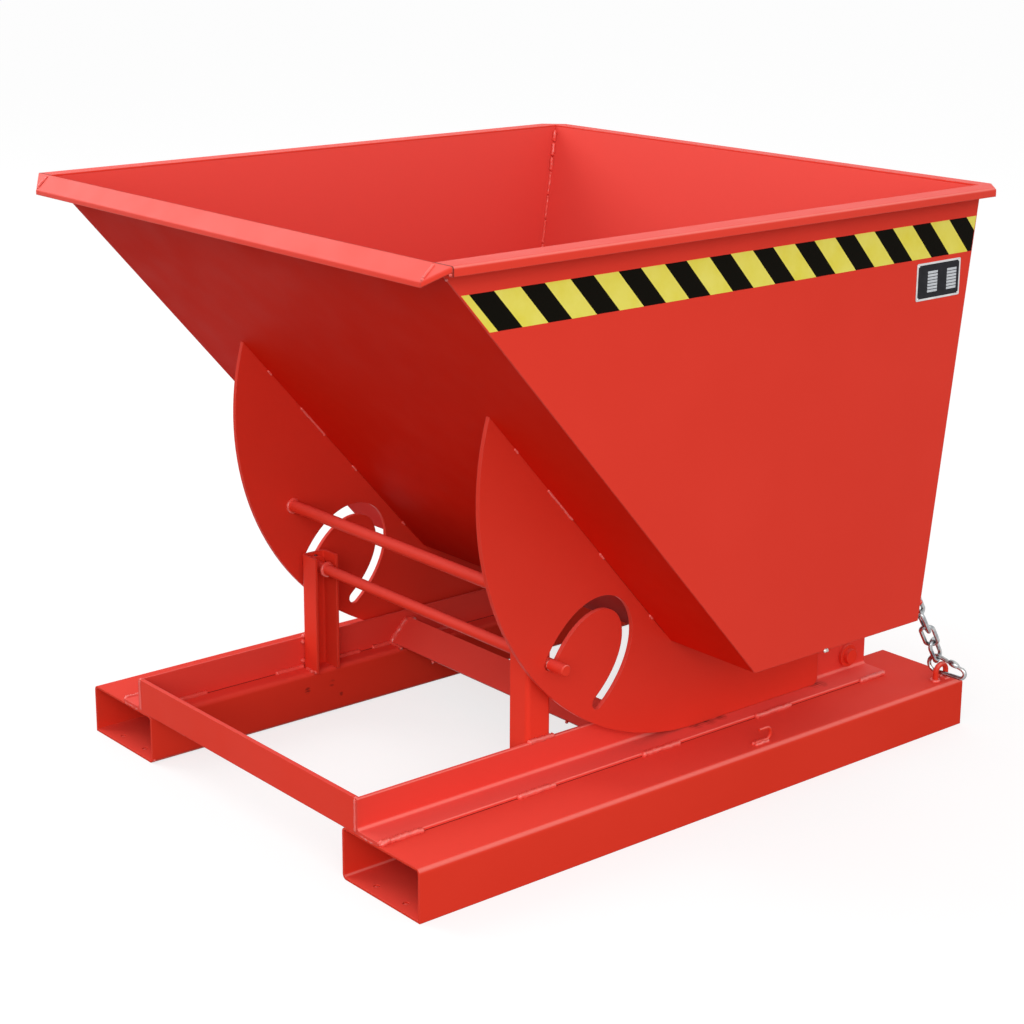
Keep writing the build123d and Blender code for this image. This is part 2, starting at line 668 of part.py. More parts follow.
SNAP_AXIS = direction(-SNAP_SLOPE, SNAP_HEADING)
SNAP_UP = (Vector(0, 0, 1) - SNAP_AXIS * SNAP_AXIS.Z).normalized()
SNAP_CENTRES = SNAP_LENGTH - SNAP_WIRE - SNAP_WIDE_RADIUS - SNAP_NARROW_RADIUS
SNAP_TAPER = asin((SNAP_WIDE_RADIUS - SNAP_NARROW_RADIUS) / SNAP_CENTRES)
SNAP_WIDE_TOP = (SNAP_WIDE_RADIUS * sin(SNAP_TAPER), SNAP_WIDE_RADIUS * cos(SNAP_TAPER))
SNAP_NARROW_TOP = (
    SNAP_CENTRES + SNAP_NARROW_RADIUS * sin(SNAP_TAPER),
    SNAP_NARROW_RADIUS * cos(SNAP_TAPER),
)
SNAP_SEAT_ALONG = SNAP_WIDE_TOP[0] + SNAP_SEAT * cos(SNAP_TAPER)
SNAP_SEAT_BELOW = SNAP_WIDE_TOP[1] - SNAP_SEAT * sin(SNAP_TAPER)
SNAP_WIDE_CENTRE = (
    Vector(EYE_X, EYE_Y, POCKET_HEIGHT + SNAP_SEAT_HEIGHT)
    - SNAP_AXIS * SNAP_SEAT_ALONG
    + SNAP_UP * SNAP_SEAT_BELOW
)
SNAP_PLANE = Plane(origin=SNAP_WIDE_CENTRE, x_dir=SNAP_AXIS, z_dir=SNAP_AXIS.cross(SNAP_UP))


def upper_side(share):
    """Point of the snap hook's upper side, from the narrow end to the wide end."""
    return (
        SNAP_NARROW_TOP[0] + share * (SNAP_WIDE_TOP[0] - SNAP_NARROW_TOP[0]),
        SNAP_NARROW_TOP[1] + share * (SNAP_WIDE_TOP[1] - SNAP_NARROW_TOP[1]),
    )


SNAP_SIDE_LENGTH = SNAP_CENTRES * cos(SNAP_TAPER)
GATE_HINGE = upper_side(GATE_SEAT / SNAP_SIDE_LENGTH)
GATE_TIP = upper_side((GATE_SEAT + GATE_LENGTH) / SNAP_SIDE_LENGTH)
SNAP_NOSE = upper_side((GATE_SEAT + GATE_LENGTH + GATE_GAP) / SNAP_SIDE_LENGTH)


def snap_hook():
    wide_bottom = (SNAP_WIDE_TOP[0], -SNAP_WIDE_TOP[1])
    narrow_bottom = (SNAP_NARROW_TOP[0], -SNAP_NARROW_TOP[1])
    path = Wire(
        [
            ThreePointArc(SNAP_NARROW_TOP, (SNAP_CENTRES + SNAP_NARROW_RADIUS, 0), narrow_bottom),
            Line(narrow_bottom, wide_bottom),
            ThreePointArc(wide_bottom, (-SNAP_WIDE_RADIUS, 0), SNAP_WIDE_TOP),
            Line(SNAP_WIDE_TOP, SNAP_NOSE),
        ]
    )
    section = Plane(path @ 0, z_dir=path % 0) * Circle(SNAP_WIRE / 2)
    socket = Pos(*GATE_HINGE) * Rot(0, 90, 0) * Sphere(GATE_WIRE / 2 + GATE_PLAY)
    return SNAP_PLANE * (sweep(section, path=path) - socket)


def snap_gate():
    along = Vector(GATE_TIP[0] - GATE_HINGE[0], GATE_TIP[1] - GATE_HINGE[1])
    bar = Plane(origin=GATE_HINGE, z_dir=along) * Circle(GATE_WIRE / 2)
    ball = Pos(*GATE_HINGE) * Sphere(GATE_WIRE / 2)
    return SNAP_PLANE * (extrude(bar, amount=GATE_LENGTH) + ball)


# Chain: long links from the snap hook's wide end up to the anchor on the rear wall
LINK_PITCH = LINK_INSIDE - LINK_PLAY
TOP_LINK = LINK_INSIDE + LINK_WIRE / 2 - ANCHOR_BAR / 2 - LINK_PLAY
CHAIN_LENGTH = (LINK_COUNT - 1) * LINK_PITCH + TOP_LINK
PULL_GAP = SNAP_WIRE / 2 + LINK_WIRE / 2 + LINK_PLAY


def anchor_at(rise):
    """Place of the anchor's bar at a height above the tub's floor."""
    wall_y = FLOOR_Y1 + REAR_REACH * rise / TUB_DEPTH
    return Vector(WALL_X - ANCHOR_INSET, wall_y + ANCHOR_REACH, FLOOR_Z + rise)


def pull_out(top):
    """Direction in the snap hook's plane in which a chain to a top point pulls its wide end."""
    pull = top - SNAP_WIDE_CENTRE
    return (SNAP_AXIS * pull.dot(SNAP_AXIS) + SNAP_UP * pull.dot(SNAP_UP)).normalized()


def chain_run(top):
    """Chain from its lowest inside point, hooked in the wide end, to a top point."""
    hooked = SNAP_WIDE_CENTRE + pull_out(top) * SNAP_WIDE_RADIUS
    return top - hooked + (top - hooked).normalized() * PULL_GAP


# The chain is anchored as high on the rear wall as its links reach
LOW_RISE, HIGH_RISE = ANCHOR_BAR, TUB_DEPTH
while HIGH_RISE - LOW_RISE > FIT_GAP / 10:
    MIDDLE_RISE = (LOW_RISE + HIGH_RISE) / 2
    if chain_run(anchor_at(MIDDLE_RISE)).length < CHAIN_LENGTH:
        LOW_RISE = MIDDLE_RISE
    else:
        HIGH_RISE = MIDDLE_RISE
CHAIN_TOP = anchor_at(LOW_RISE)
CHAIN_UP = chain_run(CHAIN_TOP).normalized()
CHAIN_FOOT = CHAIN_TOP - chain_run(CHAIN_TOP)
ANCHOR_POINT = CHAIN_FOOT + CHAIN_UP * CHAIN_LENGTH


def square_to_chain(vector):
    """Part of a vector that is square to the chain, at unit length."""
    return (vector - CHAIN_UP * vector.dot(CHAIN_UP)).normalized()


# Each link stands across the one above it, with a little twist so that the last one fits the hook
TOP_NORMAL = square_to_chain(Vector(1, 0, 0))
FOOT_NORMAL = square_to_chain(SNAP_AXIS.cross(SNAP_UP).cross(pull_out(CHAIN_TOP)))
WHOLE_TWIST = TOP_NORMAL.get_signed_angle(FOOT_NORMAL, CHAIN_UP)
LINK_TWIST = ((WHOLE_TWIST - 90 * (LINK_COUNT - 1) + 90) % 180 - 90) / (LINK_COUNT - 1)


def chain_link(number):
    """Link counted from the anchor down."""
    across = TOP_NORMAL.rotate(Axis((0, 0, 0), CHAIN_UP), (number - 1) * (90 + LINK_TWIST))
    up = (LINK_COUNT - number) * LINK_PITCH + (LINK_INSIDE + LINK_WIRE) / 2
    place = Plane(origin=CHAIN_FOOT + CHAIN_UP * up, x_dir=CHAIN_UP, z_dir=across)
    half = (LINK_INSIDE - LINK_INSIDE_WIDTH) / 2
    radius = (LINK_INSIDE_WIDTH + LINK_WIRE) / 2
    path = Wire(
        [
            Line((0, -radius), (half, -radius)),
            ThreePointArc((half, -radius), (half + radius, 0), (half, radius)),
            Line((half, radius), (-half, radius)),
            ThreePointArc((-half, radius), (-half - radius, 0), (-half, -radius)),
            Line((-half, -radius), (0, -radius)),
        ]
    )
    section = Plane(path @ 0, z_dir=path % 0) * Circle(LINK_WIRE / 2)
    return place * sweep(section, path=path)


def chain_anchor():
    half = ANCHOR_SPREAD / 2
    left = ANCHOR_POINT.X - half
    right = ANCHOR_POINT.X + half
    inside = FLOOR_Y1
    points = [
        (left, inside, ANCHOR_POINT.Z),
        (left, ANCHOR_POINT.Y, ANCHOR_POINT.Z),
        (right, ANCHOR_POINT.Y, ANCHOR_POINT.Z),
        (right, inside, ANCHOR_POINT.Z),
    ]
    return bent_bar(points, ANCHOR_BAR, ANCHOR_BAR) - tub_side_of_rear_wall()


pocket_right, pocket_left = both_sides(fork_pocket())
rail_right, rail_left = both_sides(rail())
post_right, post_left = both_sides(post())
shaft_collar_right, shaft_collar_left = both_sides(shaft_collar())
cam_right, cam_left = both_sides(cam_plate())
contact_right, contact_left = both_sides(contact_line())
wall_right, wall_left = both_sides(side_wall())
rear_rim, right_rim = rim()
rim_right, rim_left = both_sides(right_rim)
lip_end_right, lip_end_left = both_sides(lip_end())
latch_collar_right, latch_collar_left = both_sides(latch_collar())

pieces = {
    "fork_pocket_right": pocket_right,
    "fork_pocket_left": pocket_left,
    "rail_right": rail_right,
    "rail_left": rail_left,
    "front_bar": front_bar(),
    "cross_angle": cross_angle(),
    "post_right": post_right,
    "post_left": post_left,
    "guide_shaft": guide_shaft(),
    "shaft_collar_right": shaft_collar_right,
    "shaft_collar_left": shaft_collar_left,
    "securing_eye": securing_eye(),
    "park_clip": park_clip(),
    "contact_line_right": contact_right,
    "contact_line_left": contact_left,
    "side_wall_right": wall_right,
    "side_wall_left": wall_left,
    "front_wall": front_wall(),
    "floor_sheet": floor_sheet(),
    "rear_wall": rear_wall(),
    "rim_right": rim_right,
    "rim_left": rim_left,
    "rim_rear": rear_rim,
    "pouring_lip": pouring_lip(),
    "lip_end_right": lip_end_right,
    "lip_end_left": lip_end_left,
    "cam_right": cam_right,
    "cam_left": cam_left,
    "tie_bar": tie_bar(),
    "data_plate": data_plate(),
    "latch_catch": latch_catch(),
    "chain_anchor": chain_anchor(),
    "latch_shaft": latch_shaft(),
    "latch_collar_right": latch_collar_right,
    "latch_collar_left": latch_collar_left,
    "latch_hook": latch_hook(),
    "latch_lever": latch_lever(),
    "lever_grip": lever_grip(),
    "snap_hook": snap_hook(),
    "snap_gate": snap_gate(),
}
for number in range(1, LINK_COUNT + 1):
    pieces["chain_link_" + str(number)] = chain_link(number)

os.makedirs("parts", exist_ok=True)
for name, piece in pieces.items():
    export_step(piece, "parts/" + name + ".step")
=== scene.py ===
# %% [markdown]
# # A tipping hopper, dressed in Blender
#
# The hopper is a welded steel tub on a base with two fork pockets. The tub rolls
# forward on two curved cam plates and tips its load over the lip. The shapes and
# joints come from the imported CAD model, which is loaded first and never changed.
# Blender adds what a drawing leaves out: paint, weld metal, tape, the plate's face
# and the small screws.

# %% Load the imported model
import math

import bmesh
import bpy
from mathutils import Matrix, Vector


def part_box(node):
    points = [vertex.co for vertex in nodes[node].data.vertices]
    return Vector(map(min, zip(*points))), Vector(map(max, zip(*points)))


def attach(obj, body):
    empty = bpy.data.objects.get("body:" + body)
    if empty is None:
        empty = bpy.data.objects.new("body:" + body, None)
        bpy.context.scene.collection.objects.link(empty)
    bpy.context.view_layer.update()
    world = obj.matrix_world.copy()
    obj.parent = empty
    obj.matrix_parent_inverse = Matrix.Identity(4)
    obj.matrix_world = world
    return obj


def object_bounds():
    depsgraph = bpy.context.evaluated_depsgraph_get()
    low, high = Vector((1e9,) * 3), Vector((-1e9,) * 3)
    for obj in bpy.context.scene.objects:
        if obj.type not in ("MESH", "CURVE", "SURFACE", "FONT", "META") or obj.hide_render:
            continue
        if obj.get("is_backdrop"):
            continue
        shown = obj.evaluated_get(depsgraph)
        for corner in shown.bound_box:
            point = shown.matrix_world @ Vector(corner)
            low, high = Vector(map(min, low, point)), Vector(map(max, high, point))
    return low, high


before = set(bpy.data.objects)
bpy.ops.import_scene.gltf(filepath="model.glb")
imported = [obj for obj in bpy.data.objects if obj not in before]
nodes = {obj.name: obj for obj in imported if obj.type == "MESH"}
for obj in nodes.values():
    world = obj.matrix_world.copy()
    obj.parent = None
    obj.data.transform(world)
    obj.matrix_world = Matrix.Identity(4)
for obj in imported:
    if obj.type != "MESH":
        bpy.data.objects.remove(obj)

cad_low, cad_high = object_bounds()
bpy.ops.object.select_all(action="DESELECT")
bpy.context.scene.view_settings.view_transform = "Standard"
print("CAD box", [round(v, 4) for v in cad_low], [round(v, 4) for v in cad_high])

# %% [markdown]
# ## Camera
#
# The photograph was taken from the front right, a little above the rim. The place,
# the turn and the lens were found by matching the corners of the base, the posts and
# the rim. The optical axis isn't in the middle of the picture, so the camera has a
# small shift instead of a tilt that would bend the uprights.

# %% Camera at the photograph's place
EYE = (2.89205, -2.45962, 1.56852)
TURN, TILT = math.radians(51.211), math.radians(15.047)
LENS, SENSOR = 77.11, 36.0
SHIFT = (0.0452, -0.0664)

bpy.ops.object.camera_add(location=EYE, rotation=(math.pi / 2 - TILT, 0, TURN))
camera = bpy.context.object
camera.name = "photo_camera"
camera.data.lens = LENS
camera.data.sensor_width = SENSOR
camera.data.shift_x, camera.data.shift_y = SHIFT
bpy.context.scene.camera = camera
print("camera", EYE, "lens", LENS, "mm")

# %% [markdown]
# ## Studio
#
# In the white studio light comes from all around. A soft lamp high on the left makes the
# lip shine, one beside the camera reaches under the tub, and one on the right lifts the
# side wall. The floor throws little light back, so the tub's underside stays deep red.
# To the camera and in mirrors the floor glows, so it reads as white with a pale shadow.

# %% Sums with nodes
def feed(tree, socket, value):
    """Link another node's output to a socket, or set a fixed value."""
    if isinstance(value, bpy.types.NodeSocket):
        tree.links.new(value, socket)
    else:
        socket.default_value = value


def calculate(tree, operation, *values, kind="ShaderNodeMath"):
    """A Math node over outputs and fixed values."""
    node = tree.nodes.new(kind)
    node.operation = operation
    for socket, value in zip(node.inputs, values):
        feed(tree, socket, value)
    return node.outputs["Value"]


# %% Sort the rays into light and sight
def seen_directly(tree):
    """1 for rays from the camera, from a mirror or through glass, 0 for other light."""
    ray = tree.nodes.new("ShaderNodeLightPath").outputs
    seen = calculate(tree, "MAXIMUM", ray["Is Camera Ray"], ray["Is Glossy Ray"])
    return calculate(tree, "MAXIMUM", seen, ray["Is Transmission Ray"])


def light_and_sight(tree, for_light, for_sight, output):
    """One shader for the light that falls on things, another for what is seen."""
    choose = tree.nodes.new("ShaderNodeMixShader")
    parts = (seen_directly(tree), for_light.outputs[0], for_sight.outputs[0])
    for socket, part in zip(choose.inputs, parts):
        tree.links.new(part, socket)
    tree.links.new(choose.outputs[0], tree.nodes.new(output).inputs["Surface"])


# %% World
LIGHT_ALL_ROUND, BACKDROP, WHITE = 0.80, 1.0, (1, 1, 1, 1)

world = bpy.data.worlds.new("white_studio")
bpy.context.scene.world = world
world.use_nodes = True
sky = world.node_tree
sky.nodes.clear()
lighting, backdrop = (sky.nodes.new("ShaderNodeBackground") for _ in range(2))
for shine, strength in ((lighting, LIGHT_ALL_ROUND), (backdrop, BACKDROP)):
    shine.inputs["Color"].default_value = WHITE
    shine.inputs["Strength"].default_value = strength
light_and_sight(sky, lighting, backdrop, "ShaderNodeOutputWorld")
print("world light", LIGHT_ALL_ROUND)

# %% Floor
FLOOR_SIZE, FLOOR_GAP = 60.0, -0.0004
FLOOR_SHADE, FLOOR_SEEN, FLOOR_GLOW = 0.20, 0.30, 0.74

bpy.ops.mesh.primitive_plane_add(size=FLOOR_SIZE, location=(0, 0, FLOOR_GAP))
floor = bpy.context.object
floor.name = "studio_floor"
floor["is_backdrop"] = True
floor_finish = bpy.data.materials.new("studio_floor")
floor_finish.use_nodes = True
tree = floor_finish.node_tree
tree.nodes.clear()
shade, seen = (tree.nodes.new("ShaderNodeBsdfDiffuse") for _ in range(2))
for surface, grey in ((shade, FLOOR_SHADE), (seen, FLOOR_SEEN)):
    surface.inputs["Color"].default_value = (grey, grey, grey, 1)
glow = tree.nodes.new("ShaderNodeEmission")
glow.inputs["Strength"].default_value = FLOOR_GLOW
both = tree.nodes.new("ShaderNodeAddShader")
tree.links.new(seen.outputs[0], both.inputs[0])
tree.links.new(glow.outputs[0], both.inputs[1])
light_and_sight(tree, shade, both, "ShaderNodeOutputMaterial")
floor.data.materials.append(floor_finish)
print("floor", FLOOR_SIZE, "m wide")

# %% Three soft lamps
LAMP_AIM, LAMP_SIZE = Vector((0.0, 0.0, 0.6)), 3.5
LAMPS = {
    "lamp_left": ((-4.5, -2.2, 4.2), 146.0),
    "lamp_camera": ((4.5, -4.5, 2.8), 142.0),
    "lamp_right": ((5.0, -1.0, 1.9), 36.0),
}

for name, (spot, power) in LAMPS.items():
    bpy.ops.object.light_add(type="AREA", location=spot)
    lamp = bpy.context.object
    lamp.name = name
    lamp.data.size, lamp.data.energy = LAMP_SIZE, power
    lamp.rotation_euler = (LAMP_AIM - Vector(spot)).to_track_quat("-Z", "Y").to_euler()
    print(name, power, "W at", spot)

# %% [markdown]
# ## Red paint
#
# All the steelwork is sprayed one bright, semi-gloss red. A sprayed coat is never flat:
# it has a fine orange-peel skin, the thin sheets wave, and gloss and colour drift over a
# panel. Faces that look up are a little rougher and painted paler, a painted sky sheen, and
# the outer folds and cut edges get a painted highlight. A flat colour would look like
# plastic, so noise and the direction of the face drive the colour, the roughness and two
# sizes of bump. A Bevel node softens the CAD model's sharp sheet edges.

# %% Patterns for a finish
def start_finish(name):
    """A new material: its node tree, its shader and the object's own coordinates."""
    finish = bpy.data.materials.new(name)
    finish.use_nodes = True
    tree = finish.node_tree
    place = tree.nodes.new("ShaderNodeTexCoord").outputs["Object"]
    return finish, tree, tree.nodes["Principled BSDF"], place


def add_node(tree, kind, output, **values):
    """A new node with values in its sockets; one of its outputs comes back."""
    node = tree.nodes.new("ShaderNode" + kind)
    for name, value in values.items():
        feed(tree, node.inputs[name.replace("_", " ")], value)
    return node.outputs[output]


def noise(tree, place, scale, detail=2.0):
    """A cloudy value; a feature is about 1 / scale metres wide."""
    return add_node(tree, "TexNoise", "Fac", Vector=place, Scale=scale, Detail=detail)


def between(tree, value, low, high, start=0.3, stop=0.7):
    """The value from start to stop, spread over low to high."""
    return add_node(tree, "MapRange", "Result", Value=value, From_Min=start, From_Max=stop,
                    To_Min=low, To_Max=high)


def tint(tree, value, first, second):
    """A colour between two colours."""
    node = tree.nodes.new("ShaderNodeMix")
    node.data_type = "RGBA"
    for socket, colour in ((node.inputs[6], first), (node.inputs[7], second)):
        feed(tree, socket, (*colour, 1) if isinstance(colour, tuple) else colour)
    tree.links.new(value, node.inputs[0])
    return node.outputs[2]


# %% Relief for a finish
def bump(tree, height, strength, distance, **under):
    """Small relief in the surface, on top of the relief given as Normal."""
    return add_node(tree, "Bump", "Normal", Height=height, Strength=strength, Distance=distance,
                    **under)


def soft_edges(tree, radius):
    """The surface's normal with its sharp edges rounded over."""
    node = tree.nodes.new("ShaderNodeBevel")
    node.samples = 4
    node.inputs["Radius"].default_value = radius
    return node.outputs["Normal"]


# %% Directions and places for a finish
def compare(tree, operation, first, second):
    """One number from two vectors."""
    return calculate(tree, operation, first, second, kind="ShaderNodeVectorMath")


def facing(tree, direction):
    """1 on faces that look along a direction, 0 on faces square to it."""
    normal = tree.nodes["Texture Coordinate"].outputs["Normal"]
    return compare(tree, "DOT_PRODUCT", normal, direction)


def connect(tree, shader, colour, gloss, relief):
    """Colour, roughness and relief into the shader."""
    for name, value in (("Base Color", colour), ("Roughness", gloss), ("Normal", relief)):
        tree.links.new(value, shader.inputs[name])


def along(tree, place, axis):
    """The place along X, Y or Z."""
    return add_node(tree, "SeparateXYZ", axis, Vector=place)


# %% Painted highlights, rubbed places and painted shade
# Strength and spread of the painted highlight on folds and cut edges.
FOLD_HIGHLIGHT, FOLD_RANGE = 0.62, (0.26, 0.48)
EDGE_HIGHLIGHT, EDGE_RANGE = 0.22, (0.75, 0.97)
STREAK_SCALE, STREAK_STRETCH, STREAK_RANGE = 240.0, 0.16, (0.36, 0.62)
# Where the painted shade sits: low on the front wall between the cam plates.
CORNER_HEIGHT, CORNER_SIDE, CORNER_TURN = (0.28, 0.46), (0.336, 0.343), (0.3, 0.6)
UP, FORWARD, BACK, SIDEWAYS = (0, 0, 1), (0, -1, 0), (0, 1, 0), (1, 0, 0)


def painted_edge_highlight(tree, place, smooth):
    """Painted highlight: strong on the outer folds, and a little on cut edges."""
    side = calculate(tree, "SIGN", along(tree, place, "X"))
    across = calculate(tree, "MULTIPLY", side, facing(tree, SIDEWAYS))
    bent = calculate(tree, "MULTIPLY", across, facing(tree, UP))
    fold = between(tree, bent, 0, FOLD_HIGHLIGHT, *FOLD_RANGE)
    sharp = tree.nodes.new("ShaderNodeNewGeometry").outputs["Normal"]
    turned = compare(tree, "DOT_PRODUCT", smooth, sharp)
    edge = between(tree, turned, EDGE_HIGHLIGHT, 0, *EDGE_RANGE)
    return calculate(tree, "MAXIMUM", fold, edge)


def rubbed(tree, place, centre, radius):
    """1 in streaks along the track round a rubbed place, 0 away from it."""
    away = compare(tree, "DISTANCE", place, centre)
    drawn_out = (1.0, STREAK_STRETCH, 1.0)
    streaks = add_node(tree, "Mapping", "Vector", Vector=place, Scale=drawn_out)
    near = between(tree, away, 1, 0, radius * 0.2, radius)
    specks = noise(tree, streaks, STREAK_SCALE, 5.0)
    return calculate(tree, "MULTIPLY", near, between(tree, specks, 0, 1, *STREAK_RANGE))


def painted_shade_low(tree, place):
    """Painted shade: 1 low down between the cam plates, on the side that looks forward."""
    low = between(tree, along(tree, place, "Z"), 1, 0, *CORNER_HEIGHT)
    aside = calculate(tree, "ABSOLUTE", along(tree, place, "X"))
    amid = between(tree, aside, 1, 0, *CORNER_SIDE)
    under = between(tree, facing(tree, FORWARD), 0, 1, *CORNER_TURN)
    return calculate(tree, "MULTIPLY", calculate(tree, "MULTIPLY", low, amid), under)


# %% Sprayed red paint
# The pale colour for faces that look up is a painted sky sheen, the inside colour a painted sheen
# on the tub's inner faces, the edge colour a painted highlight, and the dark red a painted shadow
# in the gaps between plates.
RED, RED_DEEP, RED_SKY_SHEEN = (0.81, 0.046, 0.024), (0.77, 0.040, 0.019), (0.85, 0.090, 0.070)
RED_INSIDE_SHEEN, RED_EDGE_HIGHLIGHT = (0.79, 0.086, 0.068), (0.92, 0.24, 0.20)
SCUFF_SHADE, CREVICE_SHADOW_RED = (0.20, 0.028, 0.022), (0.12, 0.006, 0.005)
PEEL_SCALE, WAVE_SCALE, DRIFT_SCALE, GLOSS_SCALE = 900.0, 4.0, 2.3, 14.0
PEEL_DEPTH, WAVE_DEPTH, EDGE_RADIUS = 0.0003, 0.010, 0.002
SHEEN_SHARE, UP_ROUGH, SEAM_WIDTH = 0.75, 0.16, (0.0006, 0.0016)


def red_paint(name, red=RED, red_deep=RED_DEEP, up_sheen=RED_SKY_SHEEN, edge=RED_EDGE_HIGHLIGHT,
              rough=(0.38, 0.46), ior=1.16, inside=None, corner=None, seam=None,
              scuffs=(), scuff_shade=SCUFF_SHADE):
    """Sprayed paint. The colour for faces that look up is a painted sheen, and the edge colour
    a painted highlight on folds and edges. inside is the direction of the tub's inner face,
    painted with a paler sheen; corner is the painted shade low between the cams; seam is
    where along Y two folded pieces meet, drawn as a dark painted shadow line; scuffs are
    rubbed places."""
    finish, tree, shader, place = start_finish(name)
    drift = between(tree, noise(tree, place, DRIFT_SCALE, 3.0), 0, 1)
    colour = tint(tree, drift, red_deep, red)
    lit_from_above = between(tree, facing(tree, UP), 0, SHEEN_SHARE, 0.05, 0.85)
    colour = tint(tree, lit_from_above, colour, up_sheen)
    if inside:
        inner = between(tree, facing(tree, inside), 0, 1, 0.4, 0.6)
        colour = tint(tree, inner, colour, RED_INSIDE_SHEEN)
    if corner:
        colour = tint(tree, painted_shade_low(tree, place), colour, corner)
    smooth = soft_edges(tree, EDGE_RADIUS)
    colour = tint(tree, painted_edge_highlight(tree, place, smooth), colour, edge)
    if seam:
        away = calculate(tree, "SUBTRACT", along(tree, place, "Y"), seam)
        away = calculate(tree, "ABSOLUTE", away)
        colour = tint(tree, between(tree, away, 0.9, 0, *SEAM_WIDTH), colour, CREVICE_SHADOW_RED)
    for centre, radius in scuffs:
        colour = tint(tree, rubbed(tree, place, centre, radius), colour, scuff_shade)
    dry = between(tree, facing(tree, UP), 0, UP_ROUGH, 0.3, 0.9)
    sheen = between(tree, noise(tree, place, GLOSS_SCALE, 4.0), *rough)
    gloss = calculate(tree, "ADD", sheen, dry)
    waves = bump(tree, noise(tree, place, WAVE_SCALE, 1.0), 0.10, WAVE_DEPTH, Normal=smooth)
    peel = bump(tree, noise(tree, place, PEEL_SCALE, 1.0), 0.05, PEEL_DEPTH, Normal=waves)
    connect(tree, shader, colour, gloss, peel)
    shader.inputs["IOR"].default_value = ior
    return finish


# %% Spray every red piece
def packed_with(word):
    """The CAD pieces whose finish, as packed, starts with a word."""
    return [name for name, node in nodes.items()
            if node.material_slots[0].material.name.startswith(word)]


def spray(names, coat):
    """Give CAD pieces a finish."""
    for name in names:
        nodes[name].material_slots[0].material = coat


red_names = packed_with("red_paint")
spray(red_names, red_paint("red_paint_sprayed"))
print("red paint on", len(red_names), "nodes")

# %% [markdown]
# ## Coats that differ
#
# The gun reaches the underside of the front wall at a slant, so the coat is dull there, and
# its red is darker as painted shade, darker still low between the cam plates. The tub's inner
# faces are painted paler, a painted sheen. The rims are sprayed last and fullest, so they
# shine. Each coat is the same paint with a few values changed, which keeps the pieces alike
# as a family.

# %% Dry coat with painted shade under the slope
# The dry coat's darker red is painted shade on the underside, and its corner colour is a deeper
# painted shade low between the cam plates.
spray(["front_wall"], red_paint(
    "red_paint_dry_shaded", red=(0.75, 0.019, 0.006), red_deep=(0.70, 0.015, 0.0045),
    rough=(0.56, 0.64), ior=1.12, corner=(0.40, 0.010, 0.0032)))
print("dry coat on the front wall")

# %% Painted sheen inside the tub
INSIDES = {"side_wall_right": (-1, 0, 0), "side_wall_left": (1, 0, 0), "rear_wall": FORWARD}

# The inner faces, and these walls as a whole a little, are painted paler: a painted sheen.
for name, inside in INSIDES.items():
    spray([name], red_paint("red_paint_" + name, red=(0.81, 0.050, 0.030),
                            red_deep=(0.77, 0.044, 0.025), inside=inside))
print("paler inside on", list(INSIDES))

# %% Glossier coat on the rims
lip_low, lip_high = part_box("pouring_lip")
RIM_SEAM = lip_high.y + 0.0012

rims = [name for name in nodes if name.startswith(("rim_", "lip_")) or name.endswith("_lip")]
# The seam where the lip meets the rim gets a dark line, a painted shadow.
spray(rims, red_paint("red_paint_rim", rough=(0.34, 0.42), ior=1.30, seam=RIM_SEAM))
print("glossier coat on", rims)

# %% [markdown]
# ## Rubbed places
#
# The cams roll on the rails' flat legs and rub the paint there in short dark streaks, and
# the left pocket has three knocks on its inner side. Each is a spot in the paint: inside
# a radius, stretched noise decides where the colour is worn. Painted by hand they would
# need an image, and the script reads none.

# %% Places on the base
pocket_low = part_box("fork_pocket_right")[0]
track_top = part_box("contact_line_right")[0].z


def from_front(distance):
    """A place along the base, measured from its front edge."""
    return pocket_low.y + distance


print("base front at", round(pocket_low.y, 4), "track top at", round(track_top, 4))

# %% Rails, cams and pockets
TRACK_X, LEFT_BEHIND = 0.350, 0.05
TRACK_RUBS = ((0.715, 0.020), (0.745, 0.022), (0.775, 0.018), (1.027, 0.024))
POCKET_KNOCKS = ((0.337, 0.057, 0.008), (0.393, 0.059, 0.008), (0.414, 0.032, 0.005))
MARK_SHADE = (0.10, 0.012, 0.010)
# The rails' coat is a paler copy of the paint with a stronger pale colour on faces that look up:
# a painted lit copy and painted sky sheen. The pockets' coat has a weaker painted sky sheen.
RAIL_LIT_COAT = {"red": (0.81, 0.060, 0.042), "red_deep": (0.77, 0.053, 0.036),
             "up_sheen": (0.89, 0.112, 0.092)}
POCKET_COAT = {"up_sheen": (0.84, 0.074, 0.054), "ior": 1.09, "scuff_shade": MARK_SHADE}

right_rubs = [((TRACK_X, from_front(d), track_top), radius) for d, radius in TRACK_RUBS]
left_rubs = [((-x, y - LEFT_BEHIND, z), radius) for (x, y, z), radius in right_rubs]
knocks = [((-pocket_low.x, from_front(d), z), radius) for d, z, radius in POCKET_KNOCKS]
spray(["rail_right"], red_paint("red_paint_track_right", scuffs=right_rubs, **RAIL_LIT_COAT))
spray(["rail_left"], red_paint("red_paint_track_left", scuffs=left_rubs, **RAIL_LIT_COAT))
# The cam plates get a darker copy of the paint, a painted shade.
spray(["cam_right", "cam_left"],
      red_paint("red_paint_cam_shaded", red=(0.755, 0.043, 0.024), red_deep=(0.715, 0.037, 0.019)))
for word, marks in (("right", ()), ("left", knocks)):
    spray(["fork_pocket_" + word],
          red_paint("red_paint_pocket_" + word, scuffs=marks, **POCKET_COAT))
print("rubbed places", len(right_rubs), "on each rail,", len(knocks), "in the left pocket")

